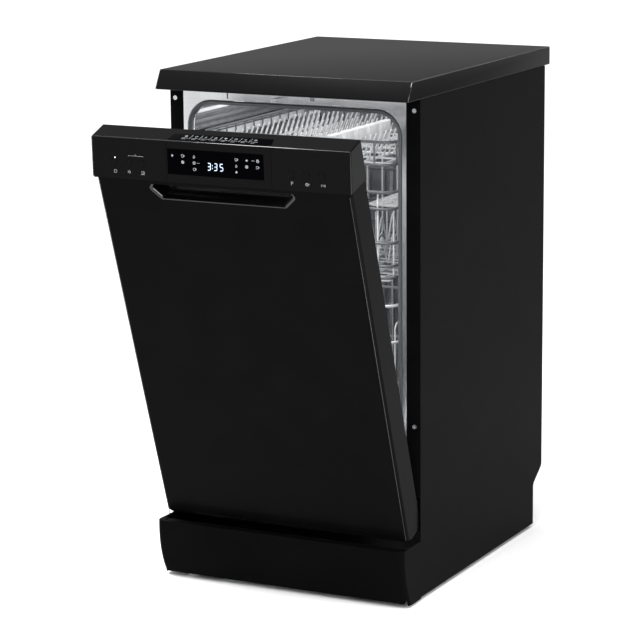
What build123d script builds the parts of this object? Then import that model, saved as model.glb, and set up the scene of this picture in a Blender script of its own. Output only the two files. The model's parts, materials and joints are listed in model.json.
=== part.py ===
from build123d import *
import os
from math import atan2, cos, degrees, hypot, radians, sin

# A slimline 45 cm dishwasher with its own worktop, side panels and plinth, its door ajar.
# +Z is up, -Y is the front, the origin lies on the floor in the middle of the outline.
# Door pieces are drawn with the door shut and swung ajar as they are saved.

os.makedirs("parts", exist_ok=True)

# ---- driving dimensions, mm ----
WIDTH = 450
HEIGHT = 845
CASE_FRONT = -142.8          # Y of the side panels' front flanges
CASE_DEPTH = 514             # front flange to the side panels' rear edge
PANEL_HALF = 224             # outer face of a side panel
SHEET = 1.2                  # sheet steel
LID_UNDERSIDE = 814
HINGE_Y = CASE_FRONT - 1
HINGE_Z = 158
DOOR_AJAR = 18.6             # degrees from shut
HINGE_AXIS = Axis((0, HINGE_Y, HINGE_Z), (1, 0, 0))

TUB_HALF = 196               # inner faces of the tub's sides
TUB_FLOOR = 171
TUB_CEILING = 796
TUB_BACK = CASE_FRONT + 489
MOUTH_HALF = 184.5           # inner edge of the door gasket
MOUTH_TOP = 788
MOUTH_RADIUS = 36
GASKET = 7.7
LEDGE_TOP = 189              # rolling ledges of the lower basket

WIRE = 1.5                   # radius of basket wires
RAIL = 2.5                   # radius of basket rims
WELD = 0.1                   # gap left between welded wires
UPPER = (CASE_FRONT + 8, CASE_FRONT + 396)      # upper basket and tray, front and back
LOWER = (CASE_FRONT + 12.5, CASE_FRONT + 436)   # lower basket, front and back
UPPER_FLOOR, UPPER_RIM = 520, 662
LOWER_FLOOR, LOWER_RIM = 216, 478
TRAY_FLOOR, TRAY_RIM = 706, 742
ARM_HUB_Y = CASE_FRONT + 250
UPPER_HUB_Y = (UPPER[0] + UPPER[1]) / 2
SUMP = (60, CASE_FRONT + 140)
SALT_PORT = (-120, CASE_FRONT + 112)

DOOR_HALF = 221
DOOR_FRONT = CASE_FRONT - 57
DOOR_BACK = CASE_FRONT - 4.2
CONTROL_HALF = 224
CONTROL_FOOT = (CASE_FRONT - 60, 749.5)
CONTROL_BROW = (CASE_FRONT - 42, 812)
CONTROL_LEAN = degrees(atan2(CONTROL_BROW[0] - CONTROL_FOOT[0], CONTROL_BROW[1] - CONTROL_FOOT[1]))
CONTROL_FACE = Plane(
    origin=(0, (CONTROL_FOOT[0] + CONTROL_BROW[0]) / 2, (CONTROL_FOOT[1] + CONTROL_BROW[1]) / 2),
    x_dir=(1, 0, 0),
    z_dir=(0, -cos(radians(CONTROL_LEAN)), sin(radians(CONTROL_LEAN))),
)
BUTTON_X = {
    "button_power": -185, "button_delay": -158, "button_half_load": -136,
    "button_program": 124, "button_extras": 149.5, "button_start": 175.5,
}
BUTTON_UP = -7               # button row, measured up the leaning face from its middle
BUTTON_R = 5.5
DISPLAY = (-5.4, 0.3, 166.6, 39.4)   # centre x, centre up the face, width, height
DISPENSER = (6, 405, 126, 130)       # centre x, centre z, width, height
STRIKER_X = -23


def save(piece, label, on_door=False):
    """Label a finished piece and write it; a door piece is swung from shut to ajar first."""
    part = piece.part.rotate(HINGE_AXIS, DOOR_AJAR) if on_door else piece.part
    part.label = label
    export_step(part, f"parts/{label}.step")


def block(x, y, z, mode=Mode.ADD):
    """A box given by its low and high limits on each axis, in the running part."""
    with Locations(((x[0] + x[1]) / 2, (y[0] + y[1]) / 2, (z[0] + z[1]) / 2)):
        Box(x[1] - x[0], y[1] - y[0], z[1] - z[0], mode=mode)


def both_sides(x, y, z, mode=Mode.ADD):
    """A box and its mirror image across the middle plane."""
    block(x, y, z, mode)
    block((-x[1], -x[0]), y, z, mode)


def rods(points, radius, length, along="Z", mode=Mode.ADD):
    """Equal straight rods centred on each point, lying along X, Y or Z."""
    turn = {"X": (0, 90, 0), "Y": (90, 0, 0), "Z": (0, 0, 0)}[along]
    with Locations(*points):
        Cylinder(radius, length, rotation=turn, mode=mode)


def steps(low, high, count):
    """Evenly spaced values from low to high, both included."""
    return [low + (high - low) * i / (count - 1) for i in range(count)]


def hoop(half, ends, z, radius):
    """Four straight bars in a rectangle, a weld gap apart at the corners."""
    (front, back) = ends
    inner = half - radius - WELD
    rods([(0, front, z), (0, back, z)], radius, 2 * inner, "X")
    rods([(-half, (front + back) / 2, z), (half, (front + back) / 2, z)],
         radius, back - front + 2 * radius, "Y")


def cage(half, ends, floor, rim, levels, side_posts, end_posts, long_wires, cross_wires):
    """An open wire basket of straight wires: hoops, upright posts inside them, and a floor grid."""
    (front, back) = ends
    middle = (front + back) / 2
    for level in levels:
        hoop(half, ends, level, RAIL)
    top, foot = rim + RAIL, floor + WIRE + WELD
    inset = RAIL + WIRE + WELD
    posts = [(s * (half - inset), y, (top + foot) / 2)
             for s in (-1, 1) for y in steps(front + 24, back - 24, side_posts)]
    posts += [(x, y, (top + foot) / 2)
              for y in (front + inset, back - inset)
              for x in steps(24 - half, half - 24, end_posts)]
    rods(posts, WIRE, top - foot)
    long_x = steps(30 - half, half - 30, long_wires)
    rods([(x, middle, floor) for x in long_x], WIRE, back - front - 2 * (RAIL + WELD), "Y")
    cross_y = steps(front + 30, back - 30, cross_wires)
    drop = 2 * WIRE + WELD
    rods([(0, y, floor - drop) for y in cross_y], WIRE, 2 * half - 2 * RAIL - 2, "X")


# ---- worktop ----
with BuildPart() as worktop:
    with BuildSketch(Plane.YZ.offset(-WIDTH / 2)):
        with BuildLine():
            Polyline(
                (CASE_FRONT - 31, HEIGHT), (CASE_FRONT + 534, HEIGHT),
                (CASE_FRONT + 534, LID_UNDERSIDE), (CASE_FRONT + 2, LID_UNDERSIDE),
                (CASE_FRONT + 2, LID_UNDERSIDE + 4.5), (CASE_FRONT - 48, LID_UNDERSIDE + 4.5),
                close=True,
            )
        make_face()
    extrude(amount=WIDTH)
    front_corners = worktop.edges().filter_by_position(Axis.Y, CASE_FRONT - 47, CASE_FRONT - 32)
    fillet(front_corners, 5)
    back_corners = worktop.edges().filter_by(Axis.Z).group_by(Axis.Y)[-1]
    fillet(back_corners, 5)
    fillet(worktop.faces().sort_by(Axis.Z)[-1].edges(), 1.2)
save(worktop, "worktop")

# ---- side panels: folded sheet with flanges and a step for the hoses at the back ----
NOTCH_BACK = CASE_FRONT + 476
CASE_BACK = CASE_FRONT + CASE_DEPTH
PANEL_TOP = LID_UNDERSIDE - 0.3
for side, label in ((-1, "side_panel_left"), (1, "side_panel_right")):
    skin = PANEL_HALF - SHEET

    def out(low, high):
        """Limits on X of something between two distances from the middle, on this side."""
        return (low, high) if side > 0 else (-high, -low)

    with BuildPart() as side_panel:
        with BuildSketch(Plane.YZ.offset(out(skin, PANEL_HALF)[0])):
            with BuildLine():
                FilletPolyline(
                    (CASE_FRONT, 6), (CASE_FRONT, PANEL_TOP), (CASE_BACK, PANEL_TOP),
                    (CASE_BACK, 104), (NOTCH_BACK, 78), (NOTCH_BACK, 6),
                    radius=[0.5, 0.5, 10, 10],
                )
                Line((NOTCH_BACK, 6), (CASE_FRONT, 6))
            make_face()
        extrude(amount=SHEET)
        block(out(200, skin), (CASE_FRONT, CASE_FRONT + SHEET), (172, PANEL_TOP))
        block(out(200, skin), (CASE_FRONT, CASE_FRONT + SHEET), (6, 80))
        block(out(212, skin), (CASE_BACK - SHEET, CASE_BACK), (112, PANEL_TOP - 1))
        block(out(205, skin), (CASE_FRONT + SHEET, CASE_BACK - SHEET), (PANEL_TOP - SHEET, PANEL_TOP))
        block(out(204, skin), (CASE_FRONT + SHEET, NOTCH_BACK - 2), (6, 6 + SHEET))
        rods([(side * 214, CASE_FRONT, 796), (side * 214, CASE_FRONT, 289)], 1.8, 10, "Y",
             Mode.SUBTRACT)
    save(side_panel, label)

with BuildPart() as back_panel:
    sheet_y = (CASE_BACK - 2.4, CASE_BACK - 1.3)
    block((-211, 211), sheet_y, (112, PANEL_TOP - 1.5))
    for rib_z in (260, 460, 660):
        rods([(0, sheet_y[0], rib_z)], 3, 380, "X")
save(back_panel, "back_panel")

# ---- front frame, gasket and latch striker ----
FRAME_TOP = PANEL_TOP - 0.2
with BuildPart() as front_top_rail:
    block((-203, 203), (CASE_FRONT + 2, CASE_FRONT + 3.5), (TUB_CEILING + 1.2, FRAME_TOP - 1.6))
    block((-203, 203), (CASE_FRONT + 2, CASE_FRONT + 42), (FRAME_TOP - 1.5, FRAME_TOP))
    block((-203, 203), (CASE_FRONT + 40.5, CASE_FRONT + 42), (TUB_CEILING + 1.2, FRAME_TOP - 1.6))
save(front_top_rail, "front_top_rail")

FRAME_HALF = 199.5
frame_inner = MOUTH_HALF + GASKET + 0.1
frame_inner_top = MOUTH_TOP + GASKET + 0.1
corner = MOUTH_RADIUS + GASKET
with BuildPart() as tub_front_frame:
    frame_y = (CASE_FRONT, CASE_FRONT + SHEET)
    both_sides((frame_inner, FRAME_HALF), frame_y, (TUB_FLOOR + 5, frame_inner_top))
    block((-FRAME_HALF, FRAME_HALF), frame_y, (frame_inner_top + WELD, FRAME_TOP))
    block((-119.5, -116.5), frame_y, (799, 811), Mode.SUBTRACT)
    block((31, 39), frame_y, (802, 810), Mode.SUBTRACT)
    for side in (-1, 1):
        gusset = Plane.XZ.offset(-frame_y[1])
        with BuildSketch(gusset):
            with BuildLine():
                inner_x = side * (frame_inner - WELD)
                arc_x = side * (frame_inner - corner)
                arc_z = frame_inner_top - corner
                Line((inner_x, arc_z), (inner_x, frame_inner_top))
                Line((inner_x, frame_inner_top), (arc_x, frame_inner_top))
                RadiusArc((arc_x, frame_inner_top), (inner_x, arc_z), side * corner)
            make_face()
        extrude(amount=SHEET)
save(tub_front_frame, "tub_front_frame")

with BuildPart() as door_gasket:
    with BuildSketch(Plane.XZ.offset(-(CASE_FRONT + 6))):
        with Locations((0, (MOUTH_TOP + GASKET + 178) / 2)):
            Rectangle(2 * (MOUTH_HALF + GASKET), MOUTH_TOP + GASKET - 178)
        fillet(vertices().group_by(Axis.Y)[-1], MOUTH_RADIUS + GASKET)
    extrude(amount=8.6)
    with BuildSketch(Plane.XZ.offset(-(CASE_FRONT + 6))):
        with Locations((0, (MOUTH_TOP + 100) / 2)):
            Rectangle(2 * MOUTH_HALF, MOUTH_TOP - 100)
        fillet(vertices().group_by(Axis.Y)[-1], MOUTH_RADIUS)
    extrude(amount=8.6, mode=Mode.SUBTRACT)
save(door_gasket, "door_gasket")

with BuildPart() as latch_striker:
    block((STRIKER_X - 9, STRIKER_X + 9), (CASE_FRONT - 1.5, CASE_FRONT - 0.1), (797, 811))
    block((STRIKER_X - 5, STRIKER_X - 2), (CASE_FRONT - 22, CASE_FRONT - 1.5), (799, 805))
    block((STRIKER_X + 2, STRIKER_X + 5), (CASE_FRONT - 22, CASE_FRONT - 1.5), (799, 805))
    block((STRIKER_X - 5, STRIKER_X + 5), (CASE_FRONT - 22, CASE_FRONT - 19), (799, 805))
save(latch_striker, "latch_striker")

with BuildPart() as flange_screws:
    places = [(s * 214, z) for s in (-1, 1) for z in (796, 289)]
    rods([(x, CASE_FRONT + 3.5, z) for x, z in places], 1.6, 9, "Y")
    rods([(x, CASE_FRONT - 1, z) for x, z in places], 3.6, 1.8, "Y")
    for x, z in places:
        block((x - 2.4, x + 2.4), (CASE_FRONT - 2, CASE_FRONT - 1.2), (z - 0.4, z + 0.4), Mode.SUBTRACT)
        block((x - 0.4, x + 0.4), (CASE_FRONT - 2, CASE_FRONT - 1.2), (z - 2.4, z + 2.4), Mode.SUBTRACT)
save(flange_screws, "flange_screws")

# ---- tub ----
TUB_FRONT = CASE_FRONT + 1.4
with BuildPart() as tub_side_left:
    block((-TUB_HALF - 1, -TUB_HALF), (TUB_FRONT, TUB_BACK), (165, TUB_CEILING + 1))
save(tub_side_left, "tub_side_left")
with BuildPart() as tub_side_right:
    block((TUB_HALF, TUB_HALF + 1), (TUB_FRONT, TUB_BACK), (165, TUB_CEILING + 1))
save(tub_side_right, "tub_side_right")
with BuildPart() as tub_ceiling:
    block((-TUB_HALF + WELD, TUB_HALF - WELD), (TUB_FRONT, TUB_BACK), (TUB_CEILING, TUB_CEILING + 1))
save(tub_ceiling, "tub_ceiling")
PRESSED = 1                  # wall left behind each pressed step of the tub's back
with BuildPart() as tub_back:
    block((-TUB_HALF - 1, TUB_HALF + 1), (TUB_BACK + WELD, TUB_BACK + 1.1), (165, TUB_CEILING + 1))
    for mode, wall, behind in ((Mode.ADD, 0, WELD), (Mode.SUBTRACT, PRESSED, 2)):
        for step in (1, 2, 3):
            half = 190 - 30 * step - wall
            block((-half, half), (TUB_BACK - 2 * step + wall, TUB_BACK + behind),
                  (480 + 30 * step + wall, 780 - 22 * step - wall), mode)
save(tub_back, "tub_back")

with BuildPart() as tub_floor:
    block((-TUB_HALF + WELD, TUB_HALF - WELD), (TUB_FRONT, TUB_BACK), (165, TUB_FLOOR))
    both_sides((162, TUB_HALF - WELD), (CASE_FRONT + 7, TUB_BACK), (TUB_FLOOR, LEDGE_TOP))
    block((-162, 162), (TUB_FRONT, CASE_FRONT + 14), (TUB_FLOOR, TUB_FLOOR + 5))
    with Locations((SUMP[0], SUMP[1], TUB_FLOOR - 1.5)):
        Cone(62, 98, 3.2, mode=Mode.SUBTRACT)
        Cylinder(62, 20, mode=Mode.SUBTRACT)
    with Locations((SALT_PORT[0], SALT_PORT[1], TUB_FLOOR)):
        Cylinder(31, 20, mode=Mode.SUBTRACT)
    with Locations((0, ARM_HUB_Y, TUB_FLOOR)):
        Cylinder(11, 20, mode=Mode.SUBTRACT)
save(tub_floor, "tub_floor")

with BuildPart() as sump:
    with Locations((SUMP[0], SUMP[1], 138)):
        Cylinder(61.5, 62)
        with Locations((0, 0, 3)):
            Cylinder(59, 62, mode=Mode.SUBTRACT)
save(sump, "sump")

with BuildPart() as fine_filter:
    with Locations((SUMP[0], SUMP[1], 164)):
        Cylinder(58.7, 1.2)
        Cylinder(34, 4, mode=Mode.SUBTRACT)
        with PolarLocations(46, 24):
            Cylinder(2.2, 4, mode=Mode.SUBTRACT)
        with PolarLocations(53.5, 30):
            Cylinder(2.2, 4, mode=Mode.SUBTRACT)
save(fine_filter, "fine_filter")

with BuildPart() as coarse_filter:
    with Locations((SUMP[0], SUMP[1], 146)):
        Cylinder(33.5, 56)
        with Locations((0, 0, -2)):
            Cylinder(31.5, 56, mode=Mode.SUBTRACT)
        for up in (-18, -6, 6):
            with Locations((0, 0, up)):
                with PolarLocations(32.5, 12):
                    Box(8, 9, 8, mode=Mode.SUBTRACT)
    block((SUMP[0] - 24, SUMP[0] + 24), (SUMP[1] - 3, SUMP[1] + 3), (173.5, 184))
    block((SUMP[0] - 3, SUMP[0] + 3), (SUMP[1] - 24, SUMP[1] + 24), (173.5, 184))
save(coarse_filter, "coarse_filter")

# ---- water path ----
ARM_PIN = 6
with BuildPart() as feed_pipe:
    block((-12, 12), (TUB_BACK - 18, TUB_BACK - 6.3), (176, 783))
    block((-12, 12), (ARM_HUB_Y - 14, TUB_BACK - 6.3), (783, TUB_CEILING - 0.2))
    rods([(0, ARM_HUB_Y, 182)], 10.5, 21.4)
    rods([(0, ARM_HUB_Y, 197)], ARM_PIN, 12)
    rods([(0, ARM_HUB_Y, 203.8)], 11, 3)
    block((-9, 9), (ARM_HUB_Y, TUB_BACK - 6.3), (171.3, 176))
save(feed_pipe, "feed_pipe")
with BuildPart() as top_spray:
    rods([(0, ARM_HUB_Y, 778)], 28, 5)
    rods([(0, ARM_HUB_Y, 781.6)], 9, 2.4)
    with Locations((0, ARM_HUB_Y, 776)):
        with PolarLocations(20, 8):
            Cylinder(1.5, 4, mode=Mode.SUBTRACT)
save(top_spray, "top_spray")


def spray_arm(y, z, reach):
    """A flat two-bladed arm with a bored round hub and a row of jets, on a vertical axis."""
    middle = z + 4.5
    block((16 - reach, reach - 16), (y - 16, y + 16), (z, z + 9))
    rods([(16 - reach, y, middle), (reach - 16, y, middle)], 16, 9)
    rods([(0, y, middle)], 26, 9)
    rods([(0, y, middle)], ARM_PIN + 0.06, 12, "Z", Mode.SUBTRACT)
    jets = [x for x in steps(30 - reach, reach - 16, 9) if abs(x) > 24]
    rods([(x, y + 5, z + 8) for x in jets], 1.6, 6, "Z", Mode.SUBTRACT)


with BuildPart() as lower_spray_arm:
    spray_arm(ARM_HUB_Y, 193, 150)
save(lower_spray_arm, "lower_spray_arm")
with BuildPart() as upper_spray_arm:
    spray_arm(UPPER_HUB_Y, UPPER_FLOOR - 27, 150)
save(upper_spray_arm, "upper_spray_arm")

PUMP = (-40, CASE_FRONT + 330, 66)
SHAFT_R = 4
with BuildPart() as circulation_pump:
    x, y, z = PUMP
    rods([(x - 85, y, z)], 40, 90, "X")
    rods([(x - 32, y, z)], 34, 15.8, "X")
    rods([(x - 8, y, z)], 46, 32, "X")
    rods([(x - 8, y, z)], 41, 24, "X", Mode.SUBTRACT)
    rods([(x + 9, y, z)], 15, 14, "X", Mode.SUBTRACT)
    rods([(x + 25, y, z)], 18, 34, "X")
    rods([(x + 20, y, z)], 15, 44, "X", Mode.SUBTRACT)
    with Locations((x - 8, y, z + 50)):
        Cylinder(12, 70)
    rods([(x - 8, y, z)], 41, 24, "X", Mode.SUBTRACT)
    rods([(x - 30, y, z)], SHAFT_R + 0.05, 22, "X", Mode.SUBTRACT)
save(circulation_pump, "circulation_pump")
with BuildPart() as pump_impeller:
    rods([(x - 13, y, z)], 36, 3, "X")
    rods([(x - 8, y, z)], 10, 13, "X")
    rods([(x - 25, y, z)], SHAFT_R, 24, "X")
    with BuildSketch(Plane.YZ.offset(x - 11.6)):
        with Locations((y, z)):
            with PolarLocations(22, 6):
                Rectangle(26, 2.5, rotation=35)
    extrude(amount=10)
save(pump_impeller, "pump_impeller")
with BuildPart() as drain_pump:
    rods([(130, CASE_FRONT + 300, 60)], 27, 60, "Y")
    rods([(130, CASE_FRONT + 260, 60)], 32, 20, "Y")
    rods([(130, CASE_FRONT + 238, 60)], 11, 26, "Y")
save(drain_pump, "drain_pump")

BASE_BACK = CASE_FRONT + 475
with BuildPart() as inlet_valve:
    block((-172, -128), (BASE_BACK - 70, BASE_BACK - 3.3), (32, 78))
    rods([(-150, BASE_BACK + 3, 55)], 16.5, 5.6, "Y")
    rods([(-150, BASE_BACK + 15, 55)], 13.2, 18.4, "Y")
    rods([(-150, BASE_BACK + 10, 55)], 9, 30, "Y", Mode.SUBTRACT)
    rods([(-150, BASE_BACK - 1.6, 55)], 13.5, 3.6, "Y")
save(inlet_valve, "inlet_valve")
with BuildPart() as drain_outlet:
    rods([(150, BASE_BACK + 2, 60)], 15, 3.8, "Y")
    rods([(150, BASE_BACK + 17, 60)], 10.5, 26.2, "Y")
    rods([(150, BASE_BACK - 8, 60)], 10.5, 16.2, "Y")
    rods([(150, BASE_BACK + 7, 60)], 8, 60, "Y", Mode.SUBTRACT)
save(drain_outlet, "drain_outlet")
with BuildPart() as cord_gland:
    rods([(60, BASE_BACK + 3, 55)], 11, 5.8, "Y")
    rods([(60, BASE_BACK - 4, 55)], 7.5, 8.2, "Y")
    rods([(60, BASE_BACK, 55)], 4.2, 40, "Y", Mode.SUBTRACT)
save(cord_gland, "cord_gland")

with BuildPart() as water_softener:
    block((-200, -82), (CASE_FRONT + 60, CASE_FRONT + 190), (88, 158))
    fillet(water_softener.edges().filter_by(Axis.Z), 12)
    with Locations((SALT_PORT[0], SALT_PORT[1], 167)):
        Cylinder(30.6, 20)
    with Locations((SALT_PORT[0], SALT_PORT[1], 150)):
        Cylinder(26, 56, mode=Mode.SUBTRACT)
    block((-192, -90), (CASE_FRONT + 68, CASE_FRONT + 182), (92, 130), Mode.SUBTRACT)
save(water_softener, "water_softener")
with BuildPart() as salt_cap:
    rods([(SALT_PORT[0], SALT_PORT[1], 174)], 25.7, 8)
    with Locations((SALT_PORT[0], SALT_PORT[1], 181.6)):
        Cylinder(33, 8)
        with PolarLocations(33.6, 12):
            Cylinder(3, 10, mode=Mode.SUBTRACT)
    with Locations((SALT_PORT[0], SALT_PORT[1], 187)):
        Box(44, 7, 3.4)
save(salt_cap, "salt_cap")
with BuildPart() as air_breaker:
    block((-219, -200), (CASE_FRONT + 150, CASE_FRONT + 410), (230, 560))
    fillet(air_breaker.edges().filter_by(Axis.X), 22)
    fillet(air_breaker.edges().group_by(Axis.X)[0], 3)
save(air_breaker, "air_breaker")

# ---- base, feet and plinth ----
FEET = [(s * 190, y) for s in (-1, 1) for y in (CASE_FRONT + 26, CASE_FRONT + 445)]
with BuildPart() as base_tray:
    block((-222, 222), (CASE_FRONT + 2, BASE_BACK), (14, 17))
    both_sides((219, 222), (CASE_FRONT + 56, BASE_BACK), (17, 84))
    block((-219, 219), (BASE_BACK - 3, BASE_BACK), (17, 104))
    block((-222, 222), (CASE_FRONT + 2, CASE_FRONT + 5), (17, 78))
    rods([(x, y, 15) for x, y in FEET], 5.4, 10, "Z", Mode.SUBTRACT)
    rods([(-150, BASE_BACK - 1.5, 55)], 13.8, 10, "Y", Mode.SUBTRACT)
    rods([(150, BASE_BACK - 1.5, 60)], 10.8, 10, "Y", Mode.SUBTRACT)
    rods([(60, BASE_BACK - 1.5, 55)], 7.8, 10, "Y", Mode.SUBTRACT)
save(base_tray, "base_tray")
with BuildPart() as levelling_feet:
    with BuildSketch():
        with Locations(*FEET):
            Circle(17)
    extrude(amount=5)
    with BuildSketch(Plane.XY.offset(5)):
        with Locations(*FEET):
            RegularPolygon(9, 6)
    extrude(amount=6)
    with BuildSketch(Plane.XY.offset(11)):
        with Locations(*FEET):
            Circle(5)
    extrude(amount=22)
save(levelling_feet, "levelling_feet")

PLINTH_TOP = 100
PLINTH_FRONT = CASE_FRONT - 70.6
PLINTH_TOE = CASE_FRONT - 48


def plinth_outline(x, inset, top):
    """Side profile of the plinth at x: a convex front that tucks in towards the floor."""
    with BuildSketch(Plane.YZ.offset(x)) as profile:
        with BuildLine():
            head = (PLINTH_FRONT + inset, top)
            toe = (PLINTH_TOE + inset, 4)
            ThreePointArc(head, (PLINTH_FRONT + inset + 4, 50), toe)
            Polyline(toe, (CASE_FRONT - 0.6, 4), (CASE_FRONT - 0.6, top), head)
        make_face()
    return profile.sketch


PLINTH_WALL = 2.7
with BuildPart() as plinth_hollow:
    extrude(plinth_outline(PLINTH_WALL - WIDTH / 2, PLINTH_WALL, PLINTH_TOP - 3),
            amount=WIDTH - 2 * PLINTH_WALL, dir=(1, 0, 0))
    fillet(plinth_hollow.faces().sort_by(Axis.Y)[0].edges().filter_by(GeomType.CIRCLE),
           10 - PLINTH_WALL)
with BuildPart() as plinth:
    extrude(plinth_outline(-WIDTH / 2, 0, PLINTH_TOP), amount=WIDTH, dir=(1, 0, 0))
    fillet(plinth.faces().sort_by(Axis.Y)[0].edges().filter_by(GeomType.CIRCLE), 10)
    add(plinth_hollow.part, mode=Mode.SUBTRACT)
    block((-222.3, 222.3), (CASE_FRONT - 50, CASE_FRONT + 1), (3, PLINTH_TOP + 1), Mode.SUBTRACT)
    block((-214, 214), (PLINTH_FRONT + 7, CASE_FRONT - 49), (PLINTH_TOP - 1.2, PLINTH_TOP + 1),
          Mode.SUBTRACT)
save(plinth, "plinth")

# ---- hinges ----
with BuildPart() as hinge_brackets:
    for side in (-1, 1):
        start = 207 if side > 0 else -210
        with BuildSketch(Plane.YZ.offset(start)):
            with BuildLine():
                Polyline(
                    (HINGE_Y - 9, HINGE_Z - 9), (HINGE_Y - 9, HINGE_Z + 6),
                    (CASE_FRONT + 8, HINGE_Z + 6), (CASE_FRONT + 24, 196),
                    (CASE_FRONT + 96, 196), (CASE_FRONT + 96, 148.5), close=True,
                )
            make_face()
        extrude(amount=3)
        rods([(side * 204, HINGE_Y, HINGE_Z)], 5, 7.6, "X")
        block((197.2, 207) if side > 0 else (-207, -197.2), (CASE_FRONT + 60, CASE_FRONT + 90),
              (170, 192))
save(hinge_brackets, "hinge_brackets")
with BuildPart() as hinge_arms:
    for side in (-1, 1):
        with BuildSketch(Plane.YZ.offset(201 if side > 0 else -205)):
            with BuildLine():
                Polyline(
                    (HINGE_Y - 9, HINGE_Z - 3), (CASE_FRONT - 42, 196), (CASE_FRONT - 42, 330),
                    (CASE_FRONT - 9, 330), (CASE_FRONT - 9, 180), (HINGE_Y + 8, HINGE_Z + 5),
                    (HINGE_Y + 8, HINGE_Z - 3), close=True,
                )
            make_face()
            with Locations((HINGE_Y, HINGE_Z)):
                Circle(9.4)
                Circle(5.05, mode=Mode.SUBTRACT)
        extrude(amount=4)
save(hinge_arms, "hinge_arms", on_door=True)

# ---- door skins ----
POCKET_TOP, POCKET_FOOT = 742.5, 718
POCKET_HALF_TOP, POCKET_HALF_FOOT = 135, 108


def door_outline(x, inset, top):
    """Side profile of the door's outer skin at x: flat front with a foot that curls under."""
    with BuildSketch(Plane.YZ.offset(x)) as profile:
        with BuildLine():
            knee, toe = (DOOR_FRONT + inset, 136), (CASE_FRONT - 38, 116 + inset)
            back = CASE_FRONT - 4.6
            Polyline(toe, (back, 116 + inset), (back, top), (DOOR_FRONT + inset, top), knee)
            TangentArc(knee, toe, tangent=(0, -1))
        make_face()
    return profile.sketch


def pocket_outline(y, grow):
    """Front view of the handle pocket at y: a wide shallow trapezium, widest at the top."""
    with BuildSketch(Plane.XZ.offset(-y)) as profile:
        with BuildLine():
            head, foot = POCKET_HALF_TOP + grow, POCKET_HALF_FOOT + grow
            FilletPolyline(
                (-head, POCKET_TOP + grow), (-foot, POCKET_FOOT - grow),
                (foot, POCKET_FOOT - grow), (head, POCKET_TOP + grow),
                radius=6, close=True,
            )
        make_face()
    return profile.sketch


EDGE_R = 8
with BuildPart() as door_hollow:
    extrude(door_outline(-DOOR_HALF + SHEET, SHEET, 760), amount=2 * (DOOR_HALF - SHEET),
            dir=(1, 0, 0))
    fillet(door_hollow.edges().filter_by(Axis.Z).group_by(Axis.Y)[0], EDGE_R - SHEET)
with BuildPart() as door_outer_panel:
    extrude(door_outline(-DOOR_HALF, 0, 749), amount=2 * DOOR_HALF, dir=(1, 0, 0))
    fillet(door_outer_panel.edges().filter_by(Axis.Z).group_by(Axis.Y)[0], EDGE_R)
    add(door_hollow.part, mode=Mode.SUBTRACT)
    block((-DOOR_HALF + SHEET, DOOR_HALF - SHEET), (CASE_FRONT - 14, CASE_FRONT + 5), (110, 800),
          Mode.SUBTRACT)
    extrude(pocket_outline(DOOR_FRONT + 10, 0), amount=20, dir=(0, -1, 0), mode=Mode.SUBTRACT)
save(door_outer_panel, "door_outer_panel", on_door=True)

with BuildPart() as handle_pocket:
    extrude(pocket_outline(CASE_FRONT - 25, 2.5), amount=30.6, dir=(0, -1, 0))
    extrude(pocket_outline(CASE_FRONT - 27.5, 0), amount=40, dir=(0, -1, 0), mode=Mode.SUBTRACT)
save(handle_pocket, "handle_pocket", on_door=True)

LINER_FACE = CASE_FRONT - 3
BULGE = CASE_FRONT + 12
disp_x = (DISPENSER[0] - DISPENSER[2] / 2, DISPENSER[0] + DISPENSER[2] / 2)
disp_z = (DISPENSER[1] - DISPENSER[3] / 2, DISPENSER[1] + DISPENSER[3] / 2)
BULGE_R = 5
with BuildPart() as bulge_hollow:
    with BuildSketch(Plane.XZ.offset(-DOOR_BACK + 1)):
        with Locations((0, 486)):
            RectangleRounded(364 - 2 * SHEET, 590 - 2 * SHEET, 28 - SHEET)
    extrude(amount=DOOR_BACK - 1 - BULGE + SHEET)
    fillet(bulge_hollow.faces().sort_by(Axis.Y)[-1].edges(), BULGE_R - SHEET)
with BuildPart() as door_liner:
    block((-216, 216), (DOOR_BACK, LINER_FACE), (178, 806))
    block((-197, 197), (DOOR_BACK, LINER_FACE), (151, 178))
    with BuildSketch(Plane.XZ.offset(-LINER_FACE)):
        with Locations((0, 486)):
            RectangleRounded(364, 590, 28)
    extrude(amount=LINER_FACE - BULGE)
    fillet(door_liner.faces().sort_by(Axis.Y)[-1].edges(), BULGE_R)
    add(bulge_hollow.part, mode=Mode.SUBTRACT)
    block((disp_x[0] - 0.5, disp_x[1] + 0.5), (DOOR_BACK - 5, BULGE + 5),
          (disp_z[0] - 0.5, disp_z[1] + 0.5), Mode.SUBTRACT)
    block((STRIKER_X - 14, STRIKER_X + 14), (DOOR_BACK - 1, LINER_FACE + 1), (792, 807), Mode.SUBTRACT)
save(door_liner, "door_liner", on_door=True)

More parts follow.
